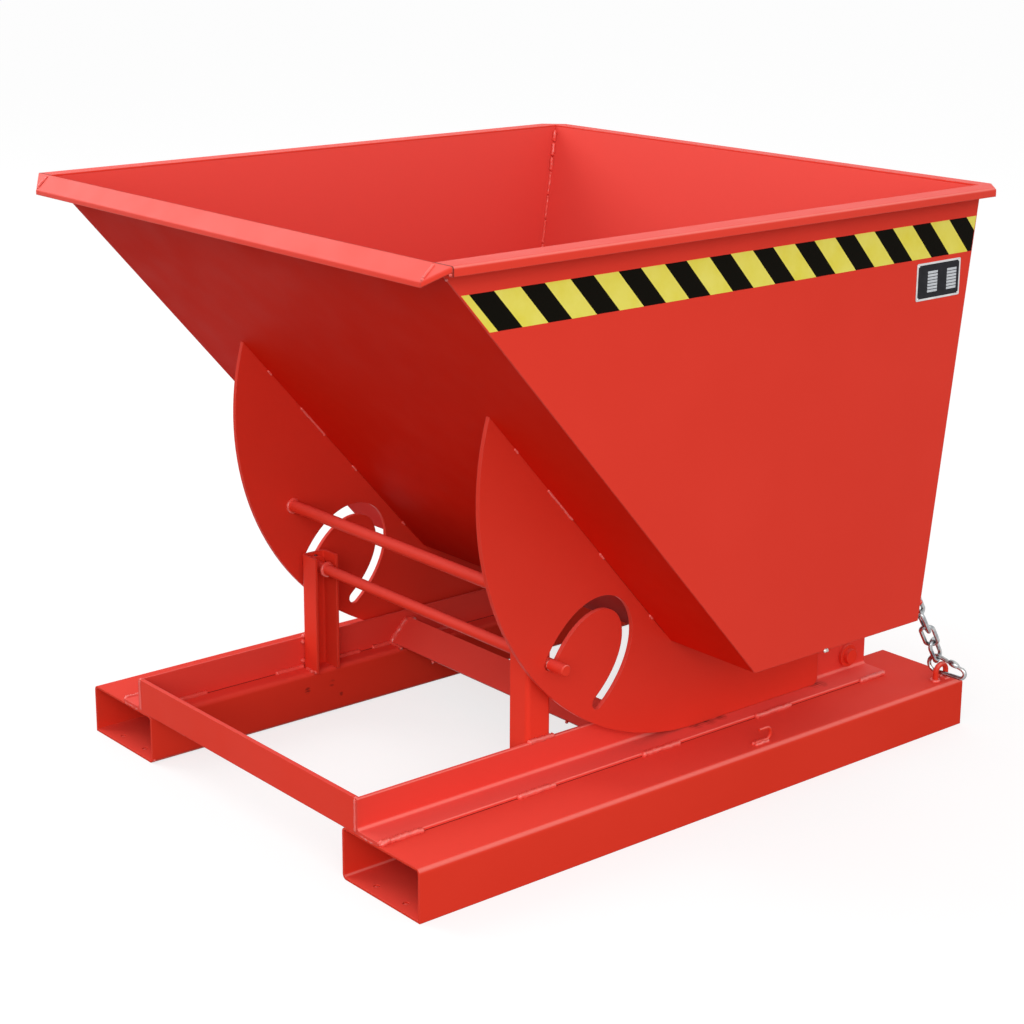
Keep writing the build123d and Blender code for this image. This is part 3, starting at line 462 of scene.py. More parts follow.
# %% [markdown]
# ## Zinc, plastic and the plate
#
# The chain and its snap hook are plated with bright zinc, a cool grey with a faint bloom.
# The lever's grip is soft black plastic with a fine grain, and the plate is brushed
# aluminium. A metal shows mostly what it reflects, so its detail is in the roughness and
# in a fine skin more than in colour.

# %% Metals
METAL_DRIFT, METAL_PATCHES, METAL_EDGE = 60.0, 240.0, 0.0006


def metal(name, pale_tone, dark_tone, rough, grain):
    """A plated or brushed metal whose tone and gloss drift a little."""
    finish, tree, shader, place = start_finish(name)
    drift = between(tree, noise(tree, place, METAL_DRIFT, 4.0), 0, 1)
    patches = noise(tree, place, METAL_PATCHES, 3.0)
    gloss = between(tree, patches, rough - 0.06, rough + 0.10)
    skin = bump(tree, noise(tree, place, grain, 3.0), 0.12, 0.0004,
                Normal=soft_edges(tree, METAL_EDGE))
    connect(tree, shader, tint(tree, drift, dark_tone, pale_tone), gloss, skin)
    shader.inputs["Metallic"].default_value = 1.0
    return finish


zinc = metal("zinc_bright", (0.62, 0.63, 0.62), (0.20, 0.22, 0.25), 0.18, 700.0)
plate_metal = metal("plate_aluminium", (0.74, 0.74, 0.73), (0.60, 0.60, 0.61), 0.34, 1500.0)
bare_steel = metal("bare_steel", (0.78, 0.74, 0.70), (0.50, 0.44, 0.40), 0.26, 900.0)
zinc_names, plate_names = packed_with("zinc"), packed_with("plate")
spray(zinc_names, zinc)
spray(plate_names, plate_metal)
print("zinc on", zinc_names, "aluminium on", plate_names)

# %% Black plastic
PLASTIC_DRIFT, PLASTIC_PATCHES, PLASTIC_GRAIN = 90.0, 400.0, 1300.0


def black_plastic(name, shade, rough, ior=1.45):
    """Moulded or printed black with a fine grain."""
    finish, tree, shader, place = start_finish(name)
    pale_shade = tuple(v * 1.7 for v in shade)
    drift = between(tree, noise(tree, place, PLASTIC_DRIFT, 3.0), 0, 1)
    patches = noise(tree, place, PLASTIC_PATCHES)
    gloss = between(tree, patches, rough - 0.08, rough + 0.08)
    grain = bump(tree, noise(tree, place, PLASTIC_GRAIN), 0.25, 0.0003)
    connect(tree, shader, tint(tree, drift, shade, pale_shade), gloss, grain)
    shader.inputs["IOR"].default_value = ior
    return finish


grip_plastic = black_plastic("grip_black", (0.012, 0.012, 0.013), 0.55)
spray(["lever_grip"], grip_plastic)
print("grip in black plastic")

# %% [markdown]
# ## Working as by hand
#
# The new pieces are modelled with Blender's own operators, in the order in which one
# would click them: add a primitive, open it in edit mode, select by place, shape it,
# close it and apply a modifier. An operator acts on all that is selected, so each helper
# starts from an empty selection. A finished piece keeps its place in the mesh.

# %% Open, select and close
def deselect():
    bpy.ops.object.select_all(action="DESELECT")


def edit_piece():
    """Open the active piece in edit mode with nothing selected."""
    bpy.ops.object.mode_set(mode="EDIT")
    bpy.ops.mesh.select_all(action="DESELECT")


def close_piece():
    bpy.ops.object.mode_set(mode="OBJECT")


def pick(kind, test):
    """Select the points, edges or faces whose middle passes the test."""
    bpy.ops.mesh.select_mode(type=kind)
    mesh = bmesh.from_edit_mesh(bpy.context.edit_object.data)
    found = {"VERT": mesh.verts, "EDGE": mesh.edges, "FACE": mesh.faces}[kind]
    for part in found:
        points = [part] if kind == "VERT" else part.verts
        middle = sum((p.co for p in points), Vector()) / len(points)
        part.select_set(bool(test(middle)))
    mesh.select_flush_mode()
    bmesh.update_edit_mesh(bpy.context.edit_object.data)


# %% Settle, aim, join and finish
def apply_modifier(piece, kind, **settings):
    modifier = piece.modifiers.new(kind.lower(), kind)
    for key, value in settings.items():
        setattr(modifier, key, value)
    bpy.context.view_layer.objects.active = piece
    bpy.ops.object.modifier_apply(modifier=modifier.name)


def settle(piece):
    """Put the piece's place, turn and size into its mesh."""
    deselect()
    piece.select_set(True)
    bpy.context.view_layer.objects.active = piece
    bpy.ops.object.transform_apply(location=True, rotation=True, scale=True)


def aim(piece, place, direction):
    """Carry a piece made at the origin to a place, with its Z axis along a direction."""
    piece.rotation_mode = "QUATERNION"
    piece.rotation_quaternion = Vector(UP).rotation_difference(Vector(direction))
    piece.location = place
    settle(piece)


def join_pieces(pieces):
    deselect()
    for piece in pieces:
        piece.select_set(True)
    bpy.context.view_layer.objects.active = pieces[0]
    bpy.ops.object.join()
    return bpy.context.object


def smooth_below(degrees):
    """Smooth shading, with sharp edges where faces meet at more than an angle."""
    bpy.ops.object.shade_smooth_by_angle(angle=math.radians(degrees))


def finish_piece(piece, name, body, finish):
    piece.name = piece.data.name = name
    piece.data.materials.clear()
    piece.data.materials.append(finish)
    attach(piece, body)
    return piece


# %% [markdown]
# ## Hazard tape
#
# A yellow and black tape runs along each side wall under the rim, a thin film stuck on
# by hand. The strip starts as a plane on the wall, its ends are moved onto the wall's
# sloped edges, and Solidify gives it a film's thickness. The stripes are worked out from
# the place along and up the wall, so they need no picture. Soft wrinkles stay in the film.

# %% The tape's stripes
TAPE_TOP, TAPE_BOTTOM, TAPE_IOR = 0.975, 0.916, 1.06
STRIPE_PITCH, STRIPE_SHARE, STRIPE_LEAN, STRIPE_BLUR = 0.0943, 0.4825, 0.898, 0.004
FIRST_STRIPE = from_front(0.0477) + STRIPE_LEAN * TAPE_TOP
YELLOW, YELLOW_PALE, BLACK = (0.84, 0.73, 0.088), (0.88, 0.79, 0.15), (0.007, 0.006, 0.004)

tape_film, tree, shader, place = start_finish("hazard_tape")
up, back = along(tree, place, "Z"), along(tree, place, "Y")
leaning = calculate(tree, "MULTIPLY_ADD", up, STRIPE_LEAN, back)
count = calculate(tree, "MULTIPLY_ADD", leaning, 1 / STRIPE_PITCH, -FIRST_STRIPE / STRIPE_PITCH)
within = calculate(tree, "FRACT", count)
yellow = tint(tree, between(tree, noise(tree, place, 26.0, 3.0), 0, 1), YELLOW, YELLOW_PALE)
is_yellow = between(tree, within, 0, 1, STRIPE_SHARE - STRIPE_BLUR, STRIPE_SHARE + STRIPE_BLUR)
gloss = between(tree, noise(tree, place, 55.0, 3.0), 0.24, 0.42)
skin = bump(tree, noise(tree, place, 75.0, 3.0), 0.12, 0.002)
connect(tree, shader, tint(tree, is_yellow, BLACK, yellow), gloss, skin)
shader.inputs["IOR"].default_value = TAPE_IOR
print("stripes", STRIPE_PITCH, "m apart")

# %% The wall's sloped edges
wall_low, wall_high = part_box("side_wall_right")
floor_low, floor_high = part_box("floor_sheet")


def up_the_wall(z):
    """How far up the side wall a height is, from 0 to 1."""
    return (z - wall_low.z) / (wall_high.z - wall_low.z)


def front_edge(z):
    """Where the side wall's sloped front edge is at a height."""
    return floor_low.y + up_the_wall(z) * (wall_low.y - floor_low.y)


def rear_edge(z):
    """Where the side wall's rear edge is at a height."""
    return floor_high.y + up_the_wall(z) * (wall_high.y - floor_high.y)


print("tape from", round(front_edge(TAPE_TOP), 3), "to", round(rear_edge(TAPE_TOP), 3))

# %% The two strips of tape
TAPE_THICK, TAPE_INSET, TAPE_CUTS = 0.0003, 0.002, 48
WRINKLE_SIZE, WRINKLE_DEPTH = 0.045, 0.0006
SIDES = ((1, "right"), (-1, "left"))


def tape_strip(side):
    middle_z, height = (TAPE_TOP + TAPE_BOTTOM) / 2, TAPE_TOP - TAPE_BOTTOM
    start, stop = front_edge(middle_z), rear_edge(middle_z)
    deselect()
    bpy.ops.mesh.primitive_plane_add(
        size=1, location=(side * wall_high.x, (start + stop) / 2, middle_z),
        rotation=(0, side * math.pi / 2, 0))
    strip = bpy.context.object
    strip.scale = (height, stop - start, 1)
    settle(strip)
    edit_piece()
    for z in (TAPE_TOP, TAPE_BOTTOM):
        ends = ((start, front_edge(z), TAPE_INSET), (stop, rear_edge(z), -TAPE_INSET))
        for y, edge, inset in ends:
            pick("VERT", lambda p: abs(p.z - z) < 1e-4 and abs(p.y - y) < 1e-4)
            bpy.ops.transform.translate(value=(0, edge + inset - y, 0))
    bpy.ops.mesh.select_all(action="SELECT")
    bpy.ops.mesh.subdivide(number_cuts=TAPE_CUTS)
    close_piece()
    wrinkles = bpy.data.textures.new("tape_wrinkles", "CLOUDS")
    wrinkles.noise_scale = WRINKLE_SIZE
    apply_modifier(strip, "SOLIDIFY", thickness=TAPE_THICK, offset=1.0)
    apply_modifier(strip, "DISPLACE", texture=wrinkles, strength=WRINKLE_DEPTH, mid_level=0.35)
    deselect()
    strip.select_set(True)
    smooth_below(40)
    return strip


for side, word in SIDES:
    tape = finish_piece(tape_strip(side), "hazard_tape_" + word, "tub", tape_film)
    print(tape.name, len(tape.data.polygons), "faces")

# %% [markdown]
# ## Weld beads
#
# Short stitches of weld, laid by hand and painted over, hold the hopper together. A bead
# is a row of ripples where the puddle froze. One ripple is an open cylinder with its ends
# drawn in; an Array with merged ends makes the row, the ends are closed to a blunt tip,
# and a Displace with a cloud texture takes away the evenness of a machine. The beads get a
# glossier coat than the sheets, and a paler colour that is a painted highlight.

# %% A row of ripples
BLUNT_TIP = 0.45


def ripple_row(radius, pitch, count, waist, tip, sides):
    """Barrels in a row up from the origin, each drawn in to the waist, with closed ends."""
    deselect()
    bpy.ops.mesh.primitive_cylinder_add(vertices=sides, radius=radius, depth=pitch,
                                        end_fill_type="NOTHING", location=(0, 0, pitch / 2))
    row = bpy.context.object
    settle(row)
    edit_piece()
    pick("EDGE", lambda p: abs(p.z - pitch / 2) < pitch * 0.1)
    bpy.ops.mesh.subdivide(number_cuts=1)
    pick("VERT", lambda p: abs(p.z - pitch / 2) > pitch * 0.4)
    bpy.ops.transform.resize(value=(waist, waist, 1))
    close_piece()
    apply_modifier(row, "ARRAY", count=count, use_relative_offset=False, use_constant_offset=True,
                   constant_offset_displace=(0, 0, pitch), use_merge_vertices=True,
                   merge_threshold=radius * 0.01)
    edit_piece()
    for z, out in ((0, -1), (pitch * count, 1)):
        pick("VERT", lambda p: abs(p.z - z) < pitch * 0.1)
        bpy.ops.mesh.extrude_edges_move(TRANSFORM_OT_translate={"value": (0, 0, out * tip)})
        bpy.ops.transform.resize(value=(BLUNT_TIP, BLUNT_TIP, 1))
        bpy.ops.mesh.edge_face_add()
    bpy.ops.mesh.select_all(action="SELECT")
    bpy.ops.mesh.normals_make_consistent(inside=False)
    close_piece()
    return row


# %% Beads, dots and rings
RIPPLE_STEP, RIPPLE_WAIST, RIPPLE_TIP, RIPPLE_SIDES = 0.9, 0.76, 0.35, 10
BEAD_LUMPS, RING_LUMPS, LUMP_SIZE = 0.8, 0.9, 0.008
lumps = bpy.data.textures.new("weld_lumps", "CLOUDS")
lumps.noise_scale = LUMP_SIZE


def roughen(bead, depth):
    apply_modifier(bead, "DISPLACE", texture=lumps, texture_coords="LOCAL", strength=depth,
                   mid_level=0.5)
    bpy.ops.object.shade_smooth()
    return bead


def weld_bead(start, end, radius):
    start, end = Vector(start), Vector(end)
    length = (end - start).length
    count = max(2, round(length / (radius * RIPPLE_STEP)))
    bead = ripple_row(radius, length / count, count, RIPPLE_WAIST, radius * RIPPLE_TIP,
                      RIPPLE_SIDES)
    aim(bead, start, end - start)
    return roughen(bead, radius * BEAD_LUMPS)


def weld_dot(place, radius):
    """A single drop, a little taller than wide."""
    half = Vector((0, 0, radius * 0.5))
    return weld_bead(Vector(place) - half, Vector(place) + half, radius)


def ring_bead(centre, axis, ring, radius):
    """A bead that runs once round a bar."""
    deselect()
    bpy.ops.mesh.primitive_torus_add(major_radius=ring, minor_radius=radius, major_segments=40,
                                     minor_segments=8)
    bead = bpy.context.object
    aim(bead, centre, axis)
    return roughen(bead, radius * RING_LUMPS)


# %% Painted shadow lines and the coats of both
JOINT_WIDTH, CREVICE_SHADOW_DEEP = 0.0024, (0.08, 0.004, 0.003)


def shadow_line(start, end):
    """A thin dark line, a painted shadow in the gap where two plates meet between the stitches.
    """
    start, end = Vector(start), Vector(end)
    length = (end - start).length
    deselect()
    bpy.ops.mesh.primitive_cylinder_add(vertices=6, radius=JOINT_WIDTH / 2, depth=length,
                                        location=(0, 0, length / 2))
    line = bpy.context.object
    settle(line)
    edit_piece()
    for z in (0, length):
        pick("FACE", lambda p: abs(p.z - z) < 1e-5)
        bpy.ops.transform.resize(value=(0.3, 0.3, 1))
    close_piece()
    aim(line, start, end - start)
    return line


# The welds' paler red is a painted highlight; their gloss is real.
weld_highlight_paint = red_paint("red_paint_weld_highlight", red=(0.86, 0.12, 0.095), red_deep=(0.83, 0.085, 0.062),
                       rough=(0.16, 0.26), ior=1.60)
# The dark red of the lines is a painted shadow in the gaps between plates.
crevice_shadow_paint = red_paint("red_paint_crevice_shadow", red=CREVICE_SHADOW_RED, red_deep=CREVICE_SHADOW_DEEP, up_sheen=CREVICE_SHADOW_RED,
                        edge=CREVICE_SHADOW_RED, rough=(0.60, 0.70), ior=1.10)


def finish_welds(beads, name, body, finish=weld_highlight_paint):
    welds = finish_piece(join_pieces(beads), name, body, finish)
    print(name, len(beads), "beads", len(welds.data.polygons), "faces")


# %% [markdown]
# ## Welds of the rails
#
# Each rail is stitched to its pocket along both edges: five long stitches outside, seven
# inside, a lump at the front end and a thin bead under it. Between two stitches the plates
# only touch, and a thin dark piece there is a painted shadow of the gap. An even pattern
# would be simpler, but a welder's stitches aren't even, so each has its own distance from
# the front.

# %% Stitches and lines along the rails
rail_low, rail_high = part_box("rail_right")
OUTER_STITCHES = ((0.004, 0.087), (0.282, 0.361), (0.559, 0.644), (0.833, 0.920), (1.108, 1.174))
INNER_STITCHES = ((0.014, 0.138), (0.291, 0.351), (0.408, 0.482), (0.513, 0.555), (0.646, 0.700),
                  (0.860, 0.940), (1.090, 1.160))
FRONT_LUMP = (0.004, 0.020)
OUTER_BEAD, INNER_BEAD, LUMP_BEAD, END_BEAD = 0.0057, 0.0046, 0.0064, 0.0026


def stitch(x, z, span, radius):
    start, stop = span
    return weld_bead((x, from_front(start), z), (x, from_front(stop), z), radius)


def rail_welds(side):
    outer_x, inner_x = side * (rail_high.x + 0.001), side * (rail_low.x - 0.001)
    outer_z, inner_z = rail_low.z + 0.0032, rail_low.z + 0.0020
    beads = [stitch(outer_x, outer_z, span, OUTER_BEAD) for span in OUTER_STITCHES]
    beads += [stitch(inner_x, inner_z, span, INNER_BEAD) for span in INNER_STITCHES]
    beads.append(stitch(outer_x, outer_z, FRONT_LUMP, LUMP_BEAD))
    x0, x1 = side * (rail_low.x + 0.012), side * (rail_high.x - 0.006)
    y, z = rail_low.y + 0.002, rail_low.z
    beads.append(weld_bead((x0, y, z), (x1, y, z), END_BEAD))
    return beads


def rail_shadow_lines(side):
    lines, z = [], rail_low.z + 0.0005
    edges = ((OUTER_STITCHES, rail_high.x + 0.0002), (INNER_STITCHES, rail_low.x - 0.0002))
    for stitches, x in edges:
        for (_, start), (stop, _) in zip(stitches, stitches[1:]):
            lines.append(shadow_line((side * x, from_front(start), z),
                                    (side * x, from_front(stop), z)))
    return lines


for side, word in SIDES:
    finish_welds(rail_welds(side), "welds_rail_" + word, "base")
    finish_welds(rail_shadow_lines(side), "shadow_lines_rail_" + word, "base", crevice_shadow_paint)

# %% [markdown]
# ## Welds of the frame
#
# The front bar, the cross angle and the posts stand on the pockets and lean on the rails.
# Their feet get fine beads, the angle's slopes thick ones against the rail, and drops are
# left where the welder stopped. One function of the side makes both left and right.

# %% Front bar
bar_low, bar_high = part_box("front_bar")
FOOT_BEAD, BAR_BEAD, BAR_DROP, POCKET_DROP, POCKET_DROP_Z = 0.0034, 0.0029, 0.0045, 0.0030, 0.006


def bar_welds(side):
    """Up the bar's end with a drop on top, along its foot, and a drop low on the pocket."""
    x, y, foot = side * bar_high.x, bar_low.y + 0.001, bar_low.z + 0.001
    inner, outer = side * (pocket_low.x + 0.006), side * (rail_low.x - 0.006)
    return [weld_bead((x, y, bar_low.z + 0.004), (x, y, bar_high.z - 0.003), BAR_BEAD),
            weld_dot((x, y + 0.003, bar_high.z - 0.002), BAR_DROP),
            weld_bead((inner, bar_high.y, foot), (outer, bar_high.y, foot), FOOT_BEAD),
            weld_dot((side * pocket_low.x, pocket_low.y + 0.0035, POCKET_DROP_Z), POCKET_DROP)]


# %% Cross angle
angle_low, angle_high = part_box("cross_angle")
SLOPE_BEAD, END_DROP, FRONT_DROP, FRONT_DROP_X = 0.0066, 0.0045, 0.0032, 0.192
SLOPE_SHARES = (0.04, 0.93)


def angle_welds(side):
    """Both feet on the pocket, both slopes on the rail, and two drops along the front foot."""
    inner, outer = side * (pocket_low.x + 0.004), side * (rail_low.x - 0.004)
    end, z = side * (rail_low.x - 0.002), angle_low.z + 0.001
    ridge = (angle_low.y + angle_high.y) / 2
    beads = [weld_dot((side * pocket_low.x, angle_low.y - 0.002, z), END_DROP),
             weld_dot((side * FRONT_DROP_X, angle_low.y, z), FRONT_DROP)]
    for foot in (angle_low.y, angle_high.y):
        beads.append(weld_bead((inner, foot, z), (outer, foot, z), FOOT_BEAD))
        out = -0.002 if foot < ridge else 0.002
        bottom, top = (foot + (ridge - foot) * share + out for share in SLOPE_SHARES)
        beads.append(weld_bead((end, bottom, angle_low.z + 0.0035),
                               (end, top, angle_low.z + 0.043), SLOPE_BEAD))
    return beads


# %% Posts, and the frame's welds on both sides
post_low, post_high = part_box("post_right")
POST_BEAD, POST_DROP, POST_DROP_X = 0.0050, 0.0042, 0.296
RAIL_DROP, RAIL_DROPS_Z = 0.0052, (0.104, 0.142)


def post_welds(side):
    """Foot on the pocket, drops up the rail's inner face and a bead along the rail's top."""
    inner, outer = side * (post_low.x + 0.003), side * (post_high.x - 0.012)
    wall, top = side * (rail_low.x - 0.001), side * (rail_low.x + 0.003)
    z = post_low.z + 0.001
    beads = [weld_bead((top, post_low.y + 0.001, rail_high.z),
                       (top, post_high.y + 0.003, rail_high.z), POST_BEAD),
             weld_dot((side * POST_DROP_X, post_low.y - 0.002, z), POST_DROP)]
    for y, out in ((post_low.y, -1), (post_high.y, 1)):
        beads.append(weld_bead((inner, y, z), (outer, y, z), FOOT_BEAD))
        beads += [weld_dot((wall, y + out * 0.002, up), RAIL_DROP) for up in RAIL_DROPS_Z]
    return beads


for side, word in SIDES:
    beads = bar_welds(side) + angle_welds(side) + post_welds(side)
    finish_welds(beads, "welds_frame_" + word, "base")

# %% [markdown]
# ## Fittings of the base
#
# The guide shaft is welded into its posts all the way round, and so are the two feet of
# the securing eye. Such a ring is a torus, and the beads' lumps make it weld metal. The
# parking clip has a bead along each leg. Painted plugs, low domes cut from a sphere, close
# the pockets' drain holes.

# %% Guide shaft, eye and clip
def centre_and_half(name):
    """The centre of a CAD piece's box and half of its size."""
    low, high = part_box(name)
    return (low + high) / 2, (high - low) / 2


shaft, shaft_half = centre_and_half("guide_shaft")
eye_low, eye_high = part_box("securing_eye")
clip_low, clip_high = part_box("park_clip")
eye_x, eye_rod = (eye_low.x + eye_high.x) / 2, (eye_high.x - eye_low.x) / 2
clip_z, clip_end = clip_low.z + 0.0012, clip_low.y + 0.030
SHAFT_BEAD, EYE_BEAD, CLIP_BEAD = 0.0040, 0.0034, 0.0042

beads = [ring_bead((side * x, shaft.y, shaft.z), SIDEWAYS, shaft_half.z + 0.001, SHAFT_BEAD)
         for side, _ in SIDES for x in (post_high.x + 0.0005, post_low.x - 0.0005)]
beads += [ring_bead((eye_x, y, eye_low.z + 0.001), UP, eye_rod + 0.001, EYE_BEAD)
          for y in (eye_low.y + eye_rod, eye_high.y - eye_rod)]
beads += [weld_bead((x, clip_low.y - 0.001, clip_z), (x, clip_end, clip_z), CLIP_BEAD)
          for x in (clip_low.x, clip_high.x)]
finish_welds(beads, "welds_fittings", "base")

# %% Plugs in the drain holes
DRAIN_X, DRAIN_Y, DRAIN_Z = (0.352, 0.428), from_front(0.021), 0.0008
PLUG_RADIUS, PLUG_HEIGHT = 0.0049, 0.0028


def dome(place, out, radius, height):
    """A low round head that stands on a face and looks along out."""
    deselect()
    bpy.ops.mesh.primitive_uv_sphere_add(segments=16, ring_count=8, radius=radius)
    head = bpy.context.object
    edit_piece()
    bpy.ops.mesh.select_all(action="SELECT")
    bpy.ops.mesh.bisect(plane_co=(0, 0, 0), plane_no=UP, use_fill=True, clear_inner=True)
    bpy.ops.mesh.select_all(action="SELECT")
    bpy.ops.transform.resize(value=(1, 1, height / radius), center_override=(0, 0, 0))
    close_piece()
    aim(head, place, out)
    smooth_below(50)
    return head


plugs = [dome((side * x, DRAIN_Y, DRAIN_Z), UP, PLUG_RADIUS, PLUG_HEIGHT)
         for side, _ in SIDES for x in DRAIN_X]
# The plugs take the welds' paler coat, a painted highlight.
finish_welds(plugs, "drain_plugs", "base")

# %% [markdown]
# ## Bare steel
#
# The cams rub a bright ring on each end of the guide shaft, and one drop of weld on the
# wall's lower edge was ground bare. Spots in the paint would do, but the metal stands a
# little proud, so each is a piece of its own: a thin sleeve, and a short bead in steel.

# %% Rubbed rings and a ground drop
cam_low, cam_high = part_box("cam_right")
RING_WIDTH, RING_THICK, RING_GAP = 0.0018, 0.0003, 0.0022
DROP_Y, DROP_HALF, DROP_RADIUS = from_front(0.8239), 0.004, 0.0042


def rubbed_ring(x):
    deselect()
    bpy.ops.mesh.primitive_cylinder_add(vertices=40, radius=shaft_half.z, depth=RING_WIDTH,
                                        end_fill_type="NOTHING")
    ring = bpy.context.object
    apply_modifier(ring, "SOLIDIFY", thickness=RING_THICK, offset=1.0)
    aim(ring, (x, shaft.y, shaft.z), SIDEWAYS)
    smooth_below(40)
    return ring


bright = [rubbed_ring(side * (cam_high.x + RING_GAP)) for side, _ in SIDES]
finish_piece(join_pieces(bright), "rubbed_rings", "base", bare_steel)
drop = weld_bead((wall_high.x, DROP_Y - DROP_HALF, wall_low.z),
                 (wall_high.x, DROP_Y + DROP_HALF, wall_low.z), DROP_RADIUS)
finish_piece(drop, "edge_drop", "tub", bare_steel)
print("bare steel on", len(bright), "rings and one drop")

# %% [markdown]
# ## Welds of the cam plates
#
# The cam plates are tacked to the sloped front wall and to the floor sheet, with a dark line
# between the tacks, a painted shadow, and the tie bar is welded in all round. The sheets are
# only 3 mm thick, so the tacks sit a little outside the sheet's face: a bead centred on the
# face would show inside the tub when it tips.

# %% Tacks, lines and the tie bar's rings
tie, tie_half = centre_and_half("tie_bar")
SLOPE_TACKS = ((0.318, 0.325), (0.447, 0.458), (0.528, 0.588), (0.660, 0.668))
FLOOR_TACKS = ((0.06, 0.11), (0.20, 0.25), (0.33, 0.37))
CAM_LINE = (0.285, 0.722)
TACK_BEAD, TACK_OUT, FLOOR_BEAD, FLOOR_OUT, TIE_BEAD = 0.0032, 0.0010, 0.0042, 0.0022, 0.0030
SLOPE_OUT = Vector((0, -1, (wall_low.y - floor_low.y) / (wall_high.z - wall_low.z))).normalized()


def on_slope(x, z, out=0.0):
    """A point at a height on the sloped front wall's outer face, or a little off it."""
    return Vector((x, front_edge(z), z)) + SLOPE_OUT * out


def cam_welds(side):
    beads, z = [], floor_low.z - FLOOR_OUT
    for face in (side * cam_low.x, side * cam_high.x):
        beads += [weld_bead(on_slope(face, a, TACK_OUT), on_slope(face, b, TACK_OUT), TACK_BEAD)
                  for a, b in SLOPE_TACKS]
        beads += [weld_bead((face, floor_low.y + a, z), (face, floor_low.y + b, z), FLOOR_BEAD)
                  for a, b in FLOOR_TACKS]
    centre = (side * (cam_low.x - 0.0005), tie.y, tie.z)
    beads.append(ring_bead(centre, SIDEWAYS, tie_half.z + 0.001, TIE_BEAD))
    return beads


def cam_shadow_lines(side):
    low, high = CAM_LINE
    return [shadow_line(on_slope(side * face, low), on_slope(side * face, high))
            for face in (cam_low.x, cam_high.x)]


for side, word in SIDES:
    finish_welds(cam_welds(side), "welds_cam_" + word, "tub")
    finish_welds(cam_shadow_lines(side), "shadow_lines_cam_" + word, "tub", crevice_shadow_paint)

# %% [markdown]
# ## Welds of the tub's corners and lip
#
# The inner rear corners are closed by dashes of weld, thicker at the top where the sheets
# were first tacked. One long bead would be less work, but the dashes catch the light as a
# dotted line. Each end of the folded lip has a seam, a drop at its foot and a dark line
# beside it, a painted shadow.

# %% Dashes in the inner rear corners
DASH_FROM, DASH_TO, DASH_PITCH, DASH = 0.285, 0.90, 0.050, 0.046
TOP_DASHES = ((0.936, 0.960), (0.966, 0.990), (0.995, 1.015))
DASH_BEAD, TOP_BEAD, DASH_INSET = 0.0034, 0.0050, 0.0010


def rising(start, stop, step):
    """Even places from start up to stop."""
    return [start + step * k for k in range(int((stop - start) / step) + 1)]


def corner_welds(side):
    dashes = [(z, z + DASH, DASH_BEAD) for z in rising(DASH_FROM, DASH_TO, DASH_PITCH)]
    dashes += [(low, high, TOP_BEAD) for low, high in TOP_DASHES]
    beads = []
    for low, high, radius in dashes:
        inset = radius + DASH_INSET
        x = side * (wall_high.x - inset)
        beads.append(weld_bead((x, rear_edge(low) - inset, low),
                               (x, rear_edge(high) - inset, high), radius))
    return beads


# %% Seams at the ends of the lip
RIM_DROP_Z, WALL_DROP_Z = 1.0148, 1.001
SEAM_BEAD, SEAM_DROP, RIM_DROP, WALL_DROP = 0.0027, 0.0032, 0.0030, 0.0027


def lip_welds(side):
    """A seam down each end of the folded lip, a drop at its foot, two under the rim's end."""
    x, rim_x = side * lip_high.x, side * (cad_high.x - 0.0040)
    return [weld_bead((x, lip_high.y - 0.0035, lip_high.z - 0.0032),
                      (x, lip_low.y + 0.0054, lip_high.z - 0.0181), SEAM_BEAD),
            weld_dot((x, lip_low.y + 0.0046, lip_high.z - 0.0215), SEAM_DROP),
            weld_dot((rim_x, lip_high.y - 0.0008, RIM_DROP_Z), RIM_DROP),
            weld_dot(on_slope(x, WALL_DROP_Z, 0.0008), WALL_DROP)]


def lip_shadow_lines(side):
    """A dark line beside the seam, a painted shadow."""
    x = side * (lip_high.x - 0.0036)
    return [shadow_line((x, lip_high.y - 0.0008, lip_high.z - 0.0010),
                       (x, lip_low.y + 0.0036, lip_high.z - 0.0210))]


for side, word in SIDES:
    finish_welds(corner_welds(side) + lip_welds(side), "welds_corner_" + word, "tub")
    finish_welds(lip_shadow_lines(side), "shadow_lines_lip_" + word, "tub", crevice_shadow_paint)

# %% [markdown]
# ## Latch and chain fittings
#
# At the back a hook on a turning shaft holds the tub down. The hook and the lever are
# welded to the shaft, the catch and the chain's anchor to the rear wall. Shaft and wall
# are different bodies, so their rings of weld are two pieces.

# %% Ring welds of the latch, the catch and the anchor
latch, latch_half = centre_and_half("latch_shaft")
boss_faces = [x for low, high in (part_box("latch_hook"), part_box("latch_lever"))
              for x in (low.x - 0.0005, high.x + 0.0005)]
LATCH_BEAD, ROOT_BEAD = 0.0028, 0.0026

rings = [ring_bead((x, latch.y, latch.z), SIDEWAYS, latch_half.z + 0.001, LATCH_BEAD)
         for x in boss_faces]
finish_welds(rings, "welds_latch", "latch")

roots = []
for bar in ("latch_catch", "chain_anchor"):
    low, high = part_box(bar)
    rod, z = (high.z - low.z) / 2, (low.z + high.z) / 2
    roots += [ring_bead((x, rear_edge(z) + 0.001, z), BACK, rod + 0.0008, ROOT_BEAD)
              for x in (low.x + rod, high.x - rod)]
finish_welds(roots, "welds_rear_wall", "tub")

# %% [markdown]
# ## Screws
#
# The collars on both shafts are clamped by small hexagon screws, and the lever's boss by
# a larger one. A six-sided cylinder has the right outline. Its top face is inset and
# lifted a little, which gives the turned-down edge of a real head.

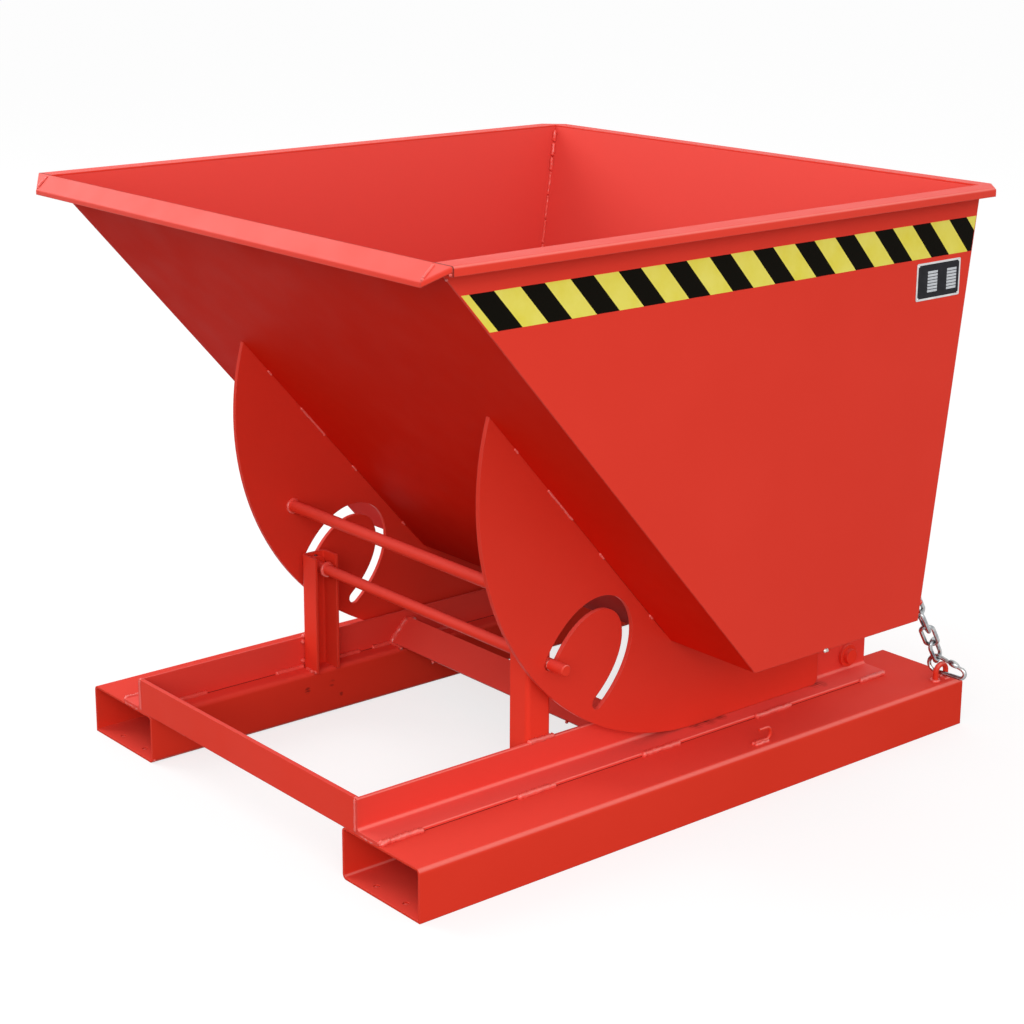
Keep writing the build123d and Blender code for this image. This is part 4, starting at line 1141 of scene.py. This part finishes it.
# %% Hexagon screws in the collars and the lever's boss
def hex_screw(place, out, size):
    """A hexagon head with its top edge turned down, looking along out."""
    deselect()
    bpy.ops.mesh.primitive_cylinder_add(vertices=6, radius=size, depth=size)
    head = bpy.context.object
    edit_piece()
    pick("FACE", lambda p: p.z > size * 0.45)
    bpy.ops.mesh.inset(thickness=size * 0.18, depth=0)
    bpy.ops.transform.translate(value=(0, 0, size * 0.14))
    close_piece()
    aim(head, place, out)
    return head


guide_low, guide_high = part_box("shaft_collar_right")
collar_low, collar_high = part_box("latch_collar_right")
guide_x, collar_x = (guide_low.x + guide_high.x) / 2, (collar_low.x + collar_high.x) / 2
lever_x = centre_and_half("latch_lever")[0].x
GUIDE_SCREW, COLLAR_SCREW, BOSS_SCREW = 0.0035, 0.0028, 0.0050

guide_screws = [hex_screw((side * guide_x, shaft.y, guide_high.z), UP, GUIDE_SCREW)
                for side, _ in SIDES]
finish_piece(join_pieces(guide_screws), "screws_guide_collars", "base", zinc)
latch_screws = [hex_screw((side * collar_x, collar_high.y, latch.z), BACK, COLLAR_SCREW)
                for side, _ in SIDES]
latch_screws.append(hex_screw((lever_x, collar_high.y + 0.0015, latch.z), BACK, BOSS_SCREW))
finish_piece(join_pieces(latch_screws), "screws_latch", "latch", zinc)
print("screws", len(guide_screws) + len(latch_screws))

# %% [markdown]
# ## Ribs of the grip
#
# The lever's grip is a plastic sleeve with moulded ribs. A rib is the same barrel as a
# weld's ripple, only wider and more even, so the same helper makes the row and a small
# Bevel rounds it. A bump would be cheaper, but the ribs show in the outline.

# %% Ribs
grip_low, grip_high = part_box("lever_grip")
grip_radius = (grip_high.x - grip_low.x) / 2
RIB_COUNT, RIB_PITCH, RIB_PROUD, RIB_WAIST, RIB_START = 12, 0.0085, 0.0010, 0.944, 0.008

ribs = ripple_row(grip_radius + RIB_PROUD, RIB_PITCH, RIB_COUNT, RIB_WAIST, 0.0006, 32)
aim(ribs, (lever_x, latch.y, grip_low.z + RIB_START), UP)
apply_modifier(ribs, "BEVEL", width=0.0004, segments=2, limit_method="ANGLE",
               angle_limit=math.radians(20))
smooth_below(50)
finish_piece(ribs, "grip_ribs", "latch", grip_plastic)
print("grip ribs", RIB_COUNT)

# %% [markdown]
# ## Thumb piece of the snap hook
#
# The gate of the snap hook swells to a smooth thumb piece. A cylinder along the gate is
# cut into rings, each ring takes its own radius, and one level of subdivision rounds the
# whole. A stretched sphere would be too blunt at its ends to run into the wire.

# %% Thumb piece on the gate
GATE_FROM, GATE_TO = Vector((0.5066, 0.6287, 0.1188)), Vector((0.4783, 0.6212, 0.1289))
THUMB_START, THUMB_LENGTH, THUMB_OUT = 0.0050, 0.0230, Vector((0.0004, 0.0001, 0.0012))
THUMB_RADII = (0.0036, 0.0056, 0.0066, 0.0068, 0.0058, 0.0036)

deselect()
bpy.ops.mesh.primitive_cylinder_add(vertices=16, radius=1, depth=THUMB_LENGTH,
                                    location=(0, 0, THUMB_LENGTH / 2))
thumb = bpy.context.object
settle(thumb)
edit_piece()
pick("EDGE", lambda p: abs(p.z - THUMB_LENGTH / 2) < THUMB_LENGTH * 0.1)
bpy.ops.mesh.subdivide(number_cuts=len(THUMB_RADII) - 2)
for ring, radius in enumerate(THUMB_RADII):
    z = THUMB_LENGTH * ring / (len(THUMB_RADII) - 1)
    pick("VERT", lambda p: abs(p.z - z) < THUMB_LENGTH * 0.05)
    bpy.ops.transform.resize(value=(radius, radius, 1))
close_piece()
gate_way = (GATE_TO - GATE_FROM).normalized()
aim(thumb, GATE_FROM + gate_way * THUMB_START + THUMB_OUT, gate_way)
apply_modifier(thumb, "SUBSURF", levels=1, render_levels=1)
smooth_below(60)
finish_piece(thumb, "gate_thumb", "gate", zinc)
print("thumb piece", THUMB_LENGTH, "m long")

# %% [markdown]
# ## The plate's face
#
# The plate is thin aluminium with a black printed field and two columns of pale boxes.
# The field and the boxes are films on the plate, so they are modelled as thin rounded
# sheets, and four small rivets hold the corners. Drawn in the material they would blur at
# the edges when the model is baked.

# %% Field
plate_low, plate_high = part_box("data_plate")
FIELD_MARGIN, FIELD_THICK, FIELD_CORNER = 0.0035, 0.00012, 0.003
plate_black = black_plastic("plate_black", (0.010, 0.010, 0.013), 0.36, 1.20)
box_pale = metal("plate_boxes", (0.58, 0.60, 0.62), (0.50, 0.52, 0.55), 0.42, 1500.0)


def thin_sheet(y0, y1, z0, z1, x, thick, corner):
    """A thin sheet with rounded corners that lies on the right-hand side of the tub."""
    deselect()
    bpy.ops.mesh.primitive_plane_add(size=1, location=(x, (y0 + y1) / 2, (z0 + z1) / 2),
                                     rotation=(0, math.pi / 2, 0))
    sheet = bpy.context.object
    sheet.scale = (z1 - z0, y1 - y0, 1)
    settle(sheet)
    edit_piece()
    pick("VERT", lambda p: True)
    bpy.ops.mesh.bevel(offset=corner, segments=4, affect="VERTICES")
    close_piece()
    apply_modifier(sheet, "SOLIDIFY", thickness=thick, offset=1.0)
    return sheet


field = thin_sheet(plate_low.y + FIELD_MARGIN, plate_high.y - FIELD_MARGIN,
                   plate_low.z + FIELD_MARGIN, plate_high.z - FIELD_MARGIN,
                   plate_high.x, FIELD_THICK, FIELD_CORNER)
finish_piece(field, "plate_field", "tub", plate_black)
print("plate field", len(field.data.polygons), "faces")

# %% Boxes and rivets
BOX_COLUMNS, BOX_ROWS = ((0.0280, 0.0250), (0.0772, 0.0246)), 7
BOX_TOP, BOX_PITCH, BOX_HEIGHT = 0.0152, 0.0053, 0.0041
BOX_THICK, BOX_CORNER = 0.0001, 0.0005
RIVET_INSET, RIVET_RADIUS, RIVET_HEIGHT = 0.0042, 0.0022, 0.0012

boxes = []
for start, width in BOX_COLUMNS:
    for row in range(BOX_ROWS):
        y, z = plate_low.y + start, plate_high.z - BOX_TOP - row * BOX_PITCH
        boxes.append(thin_sheet(y, y + width, z - BOX_HEIGHT, z, plate_high.x + FIELD_THICK,
                                BOX_THICK, BOX_CORNER))
finish_piece(join_pieces(boxes), "plate_boxes", "tub", box_pale)

heads = [dome((plate_high.x, y, z), SIDEWAYS, RIVET_RADIUS, RIVET_HEIGHT)
         for y in (plate_low.y + RIVET_INSET, plate_high.y - RIVET_INSET)
         for z in (plate_low.z + RIVET_INSET, plate_high.z - RIVET_INSET)]
finish_piece(join_pieces(heads), "plate_rivets", "tub", plate_metal)
print("plate boxes", len(boxes), "and rivets", len(heads))

# %% Print the visual box and finish
low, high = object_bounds()
print("visual box", [round(v, 4) for v in low], [round(v, 4) for v in high])
